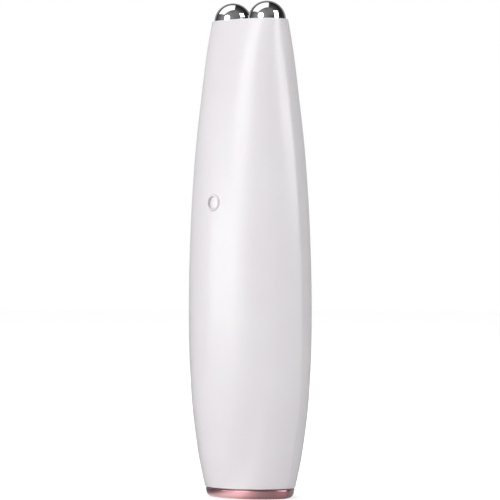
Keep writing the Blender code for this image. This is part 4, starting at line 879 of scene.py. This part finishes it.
def makeFloor():
    bpy.ops.mesh.primitive_circle_add(vertices=studio["floorSides"], radius=studio["floorRadius"],
                                      fill_type="NGON", location=(0, 0, -studio["floorDrop"]))
    floor = bpy.context.object
    floor.name = "studioFloor"
    finish = bpy.data.materials.new("paleFloor")
    finish.use_nodes = True
    tree = finish.node_tree
    tree.nodes.clear()
    output = tree.nodes.new("ShaderNodeOutputMaterial")
    matte = tree.nodes.new("ShaderNodeBsdfDiffuse")
    matte.inputs["Color"].default_value = (*studio["floorColour"], 1.0)
    glow = tree.nodes.new("ShaderNodeEmission")
    glow.inputs["Color"].default_value = (1.0, 1.0, 1.0, 1.0)
    place = tree.nodes.new("ShaderNodeTexCoord")
    reach = tree.nodes.new("ShaderNodeVectorMath")
    reach.operation = "LENGTH"
    tree.links.new(place.outputs["Object"], reach.inputs[0])
    spread = tree.nodes.new("ShaderNodeMapRange")
    spread.inputs["From Min"].default_value, spread.inputs["From Max"].default_value = studio["glowReach"]
    spread.inputs["To Min"].default_value, spread.inputs["To Max"].default_value = studio["floorGlow"]
    tree.links.new(reach.outputs["Value"], spread.inputs["Value"])
    paths = tree.nodes.new("ShaderNodeLightPath").outputs
    # glossy rays see a painted reflection instead of the floor: bright left of the pen, dimmer right of it
    # where its shadow would be
    sideways = alongAxis(tree, place.outputs["Object"], toRight)
    halfSpan = studio["paintedReflectionSpan"] / 2
    gloss = tree.nodes.new("ShaderNodeEmission")
    shine = rampFrom(tree, sideways, -halfSpan, halfSpan, studio["paintedFloorReflection"])
    around = tree.nodes.new("ShaderNodeVectorMath")
    around.operation = "MULTIPLY"
    around.inputs[1].default_value = (1 / studio["contactSize"][0], 1 / studio["contactSize"][1], 0.0)
    tree.links.new(place.outputs["Object"], around.inputs[0])
    away = tree.nodes.new("ShaderNodeVectorMath")
    away.operation = "LENGTH"
    tree.links.new(around.outputs["Vector"], away.inputs[0])
    least, reachFull = studio["paintedContactShade"]
    # painted contact shadow: the painted reflection darkens towards the base's edge
    contact = rampFrom(tree, away.outputs["Value"], 1.0, reachFull, ((0.0, least), (1.0, 1.0)))
    tree.links.new(product(tree, shine, contact), gloss.inputs["Strength"])
    seen = largest(tree, paths["Is Camera Ray"], paths["Is Transmission Ray"])
    tree.links.new(product(tree, spread.outputs["Result"], seen), glow.inputs["Strength"])
    both = tree.nodes.new("ShaderNodeAddShader")
    tree.links.new(matte.outputs["BSDF"], both.inputs[0])
    tree.links.new(glow.outputs["Emission"], both.inputs[1])
    mix = tree.nodes.new("ShaderNodeMixShader")
    tree.links.new(paths["Is Glossy Ray"], mix.inputs["Fac"])
    tree.links.new(both.outputs["Shader"], mix.inputs[1])
    tree.links.new(gloss.outputs["Emission"], mix.inputs[2])
    tree.links.new(mix.outputs["Shader"], output.inputs["Surface"])
    floor.data.materials.append(finish)


def makeSurround():
    bpy.ops.mesh.primitive_uv_sphere_add(segments=studio["surroundSegments"],
                                         ring_count=studio["surroundRings"],
                                         radius=studio["surroundRadius"], location=(0, 0, 0))
    surround = bpy.context.object
    surround.name = "darkSurround"
    finish = bpy.data.materials.new("surroundShade")
    finish.use_nodes = True
    tree = finish.node_tree
    tree.nodes.clear()
    output = tree.nodes.new("ShaderNodeOutputMaterial")
    glow = tree.nodes.new("ShaderNodeEmission")
    place = tree.nodes.new("ShaderNodeTexCoord")
    outward = tree.nodes.new("ShaderNodeVectorMath")
    outward.operation = "NORMALIZE"
    tree.links.new(place.outputs["Object"], outward.inputs[0])
    shades = []
    for axis, stops in studio["surroundLobes"]:
        turned = alongAxis(tree, outward.outputs["Vector"], fromCameraFrame(axis).normalized())
        shades.append(rampFrom(tree, turned, -1.0, 1.0, stops))
    tree.links.new(largest(tree, *shades), glow.inputs["Strength"])
    tree.links.new(glow.outputs["Emission"], output.inputs["Surface"])
    surround.data.materials.append(finish)
    surround.visible_camera = False
    surround.visible_diffuse = False
    surround.visible_shadow = False
    surround.visible_transmission = False
    surround.visible_volume_scatter = False


def makeLamps():
    for name, (direction, across, size, distance, radiance, aimHeight) in studio["lamps"].items():
        away = fromCameraFrame(direction).normalized()
        side = fromCameraFrame(across)
        side = (side - away * side.dot(away)).normalized()
        turn = Matrix((side, away.cross(side), away)).transposed()
        place = toTop * aimHeight + away * distance
        bpy.ops.object.light_add(type="AREA", location=place, rotation=turn.to_euler())
        lamp = bpy.context.object
        lamp.name = name
        lamp.visible_camera = False
        lamp.visible_glossy = name not in studio["softLamps"]
        lamp.data.shape = "ELLIPSE" if name == "roundKey" else "RECTANGLE"
        lamp.data.size, lamp.data.size_y = size
        area = size[0] * size[1] * (math.pi / 4 if name == "roundKey" else 1.0)
        lamp.data.energy = radiance * area * math.pi


makeWorld()
makeFloor()
makeSurround()
makeLamps()
bpy.context.scene.view_settings.view_transform = "Standard"
print("studio lit")
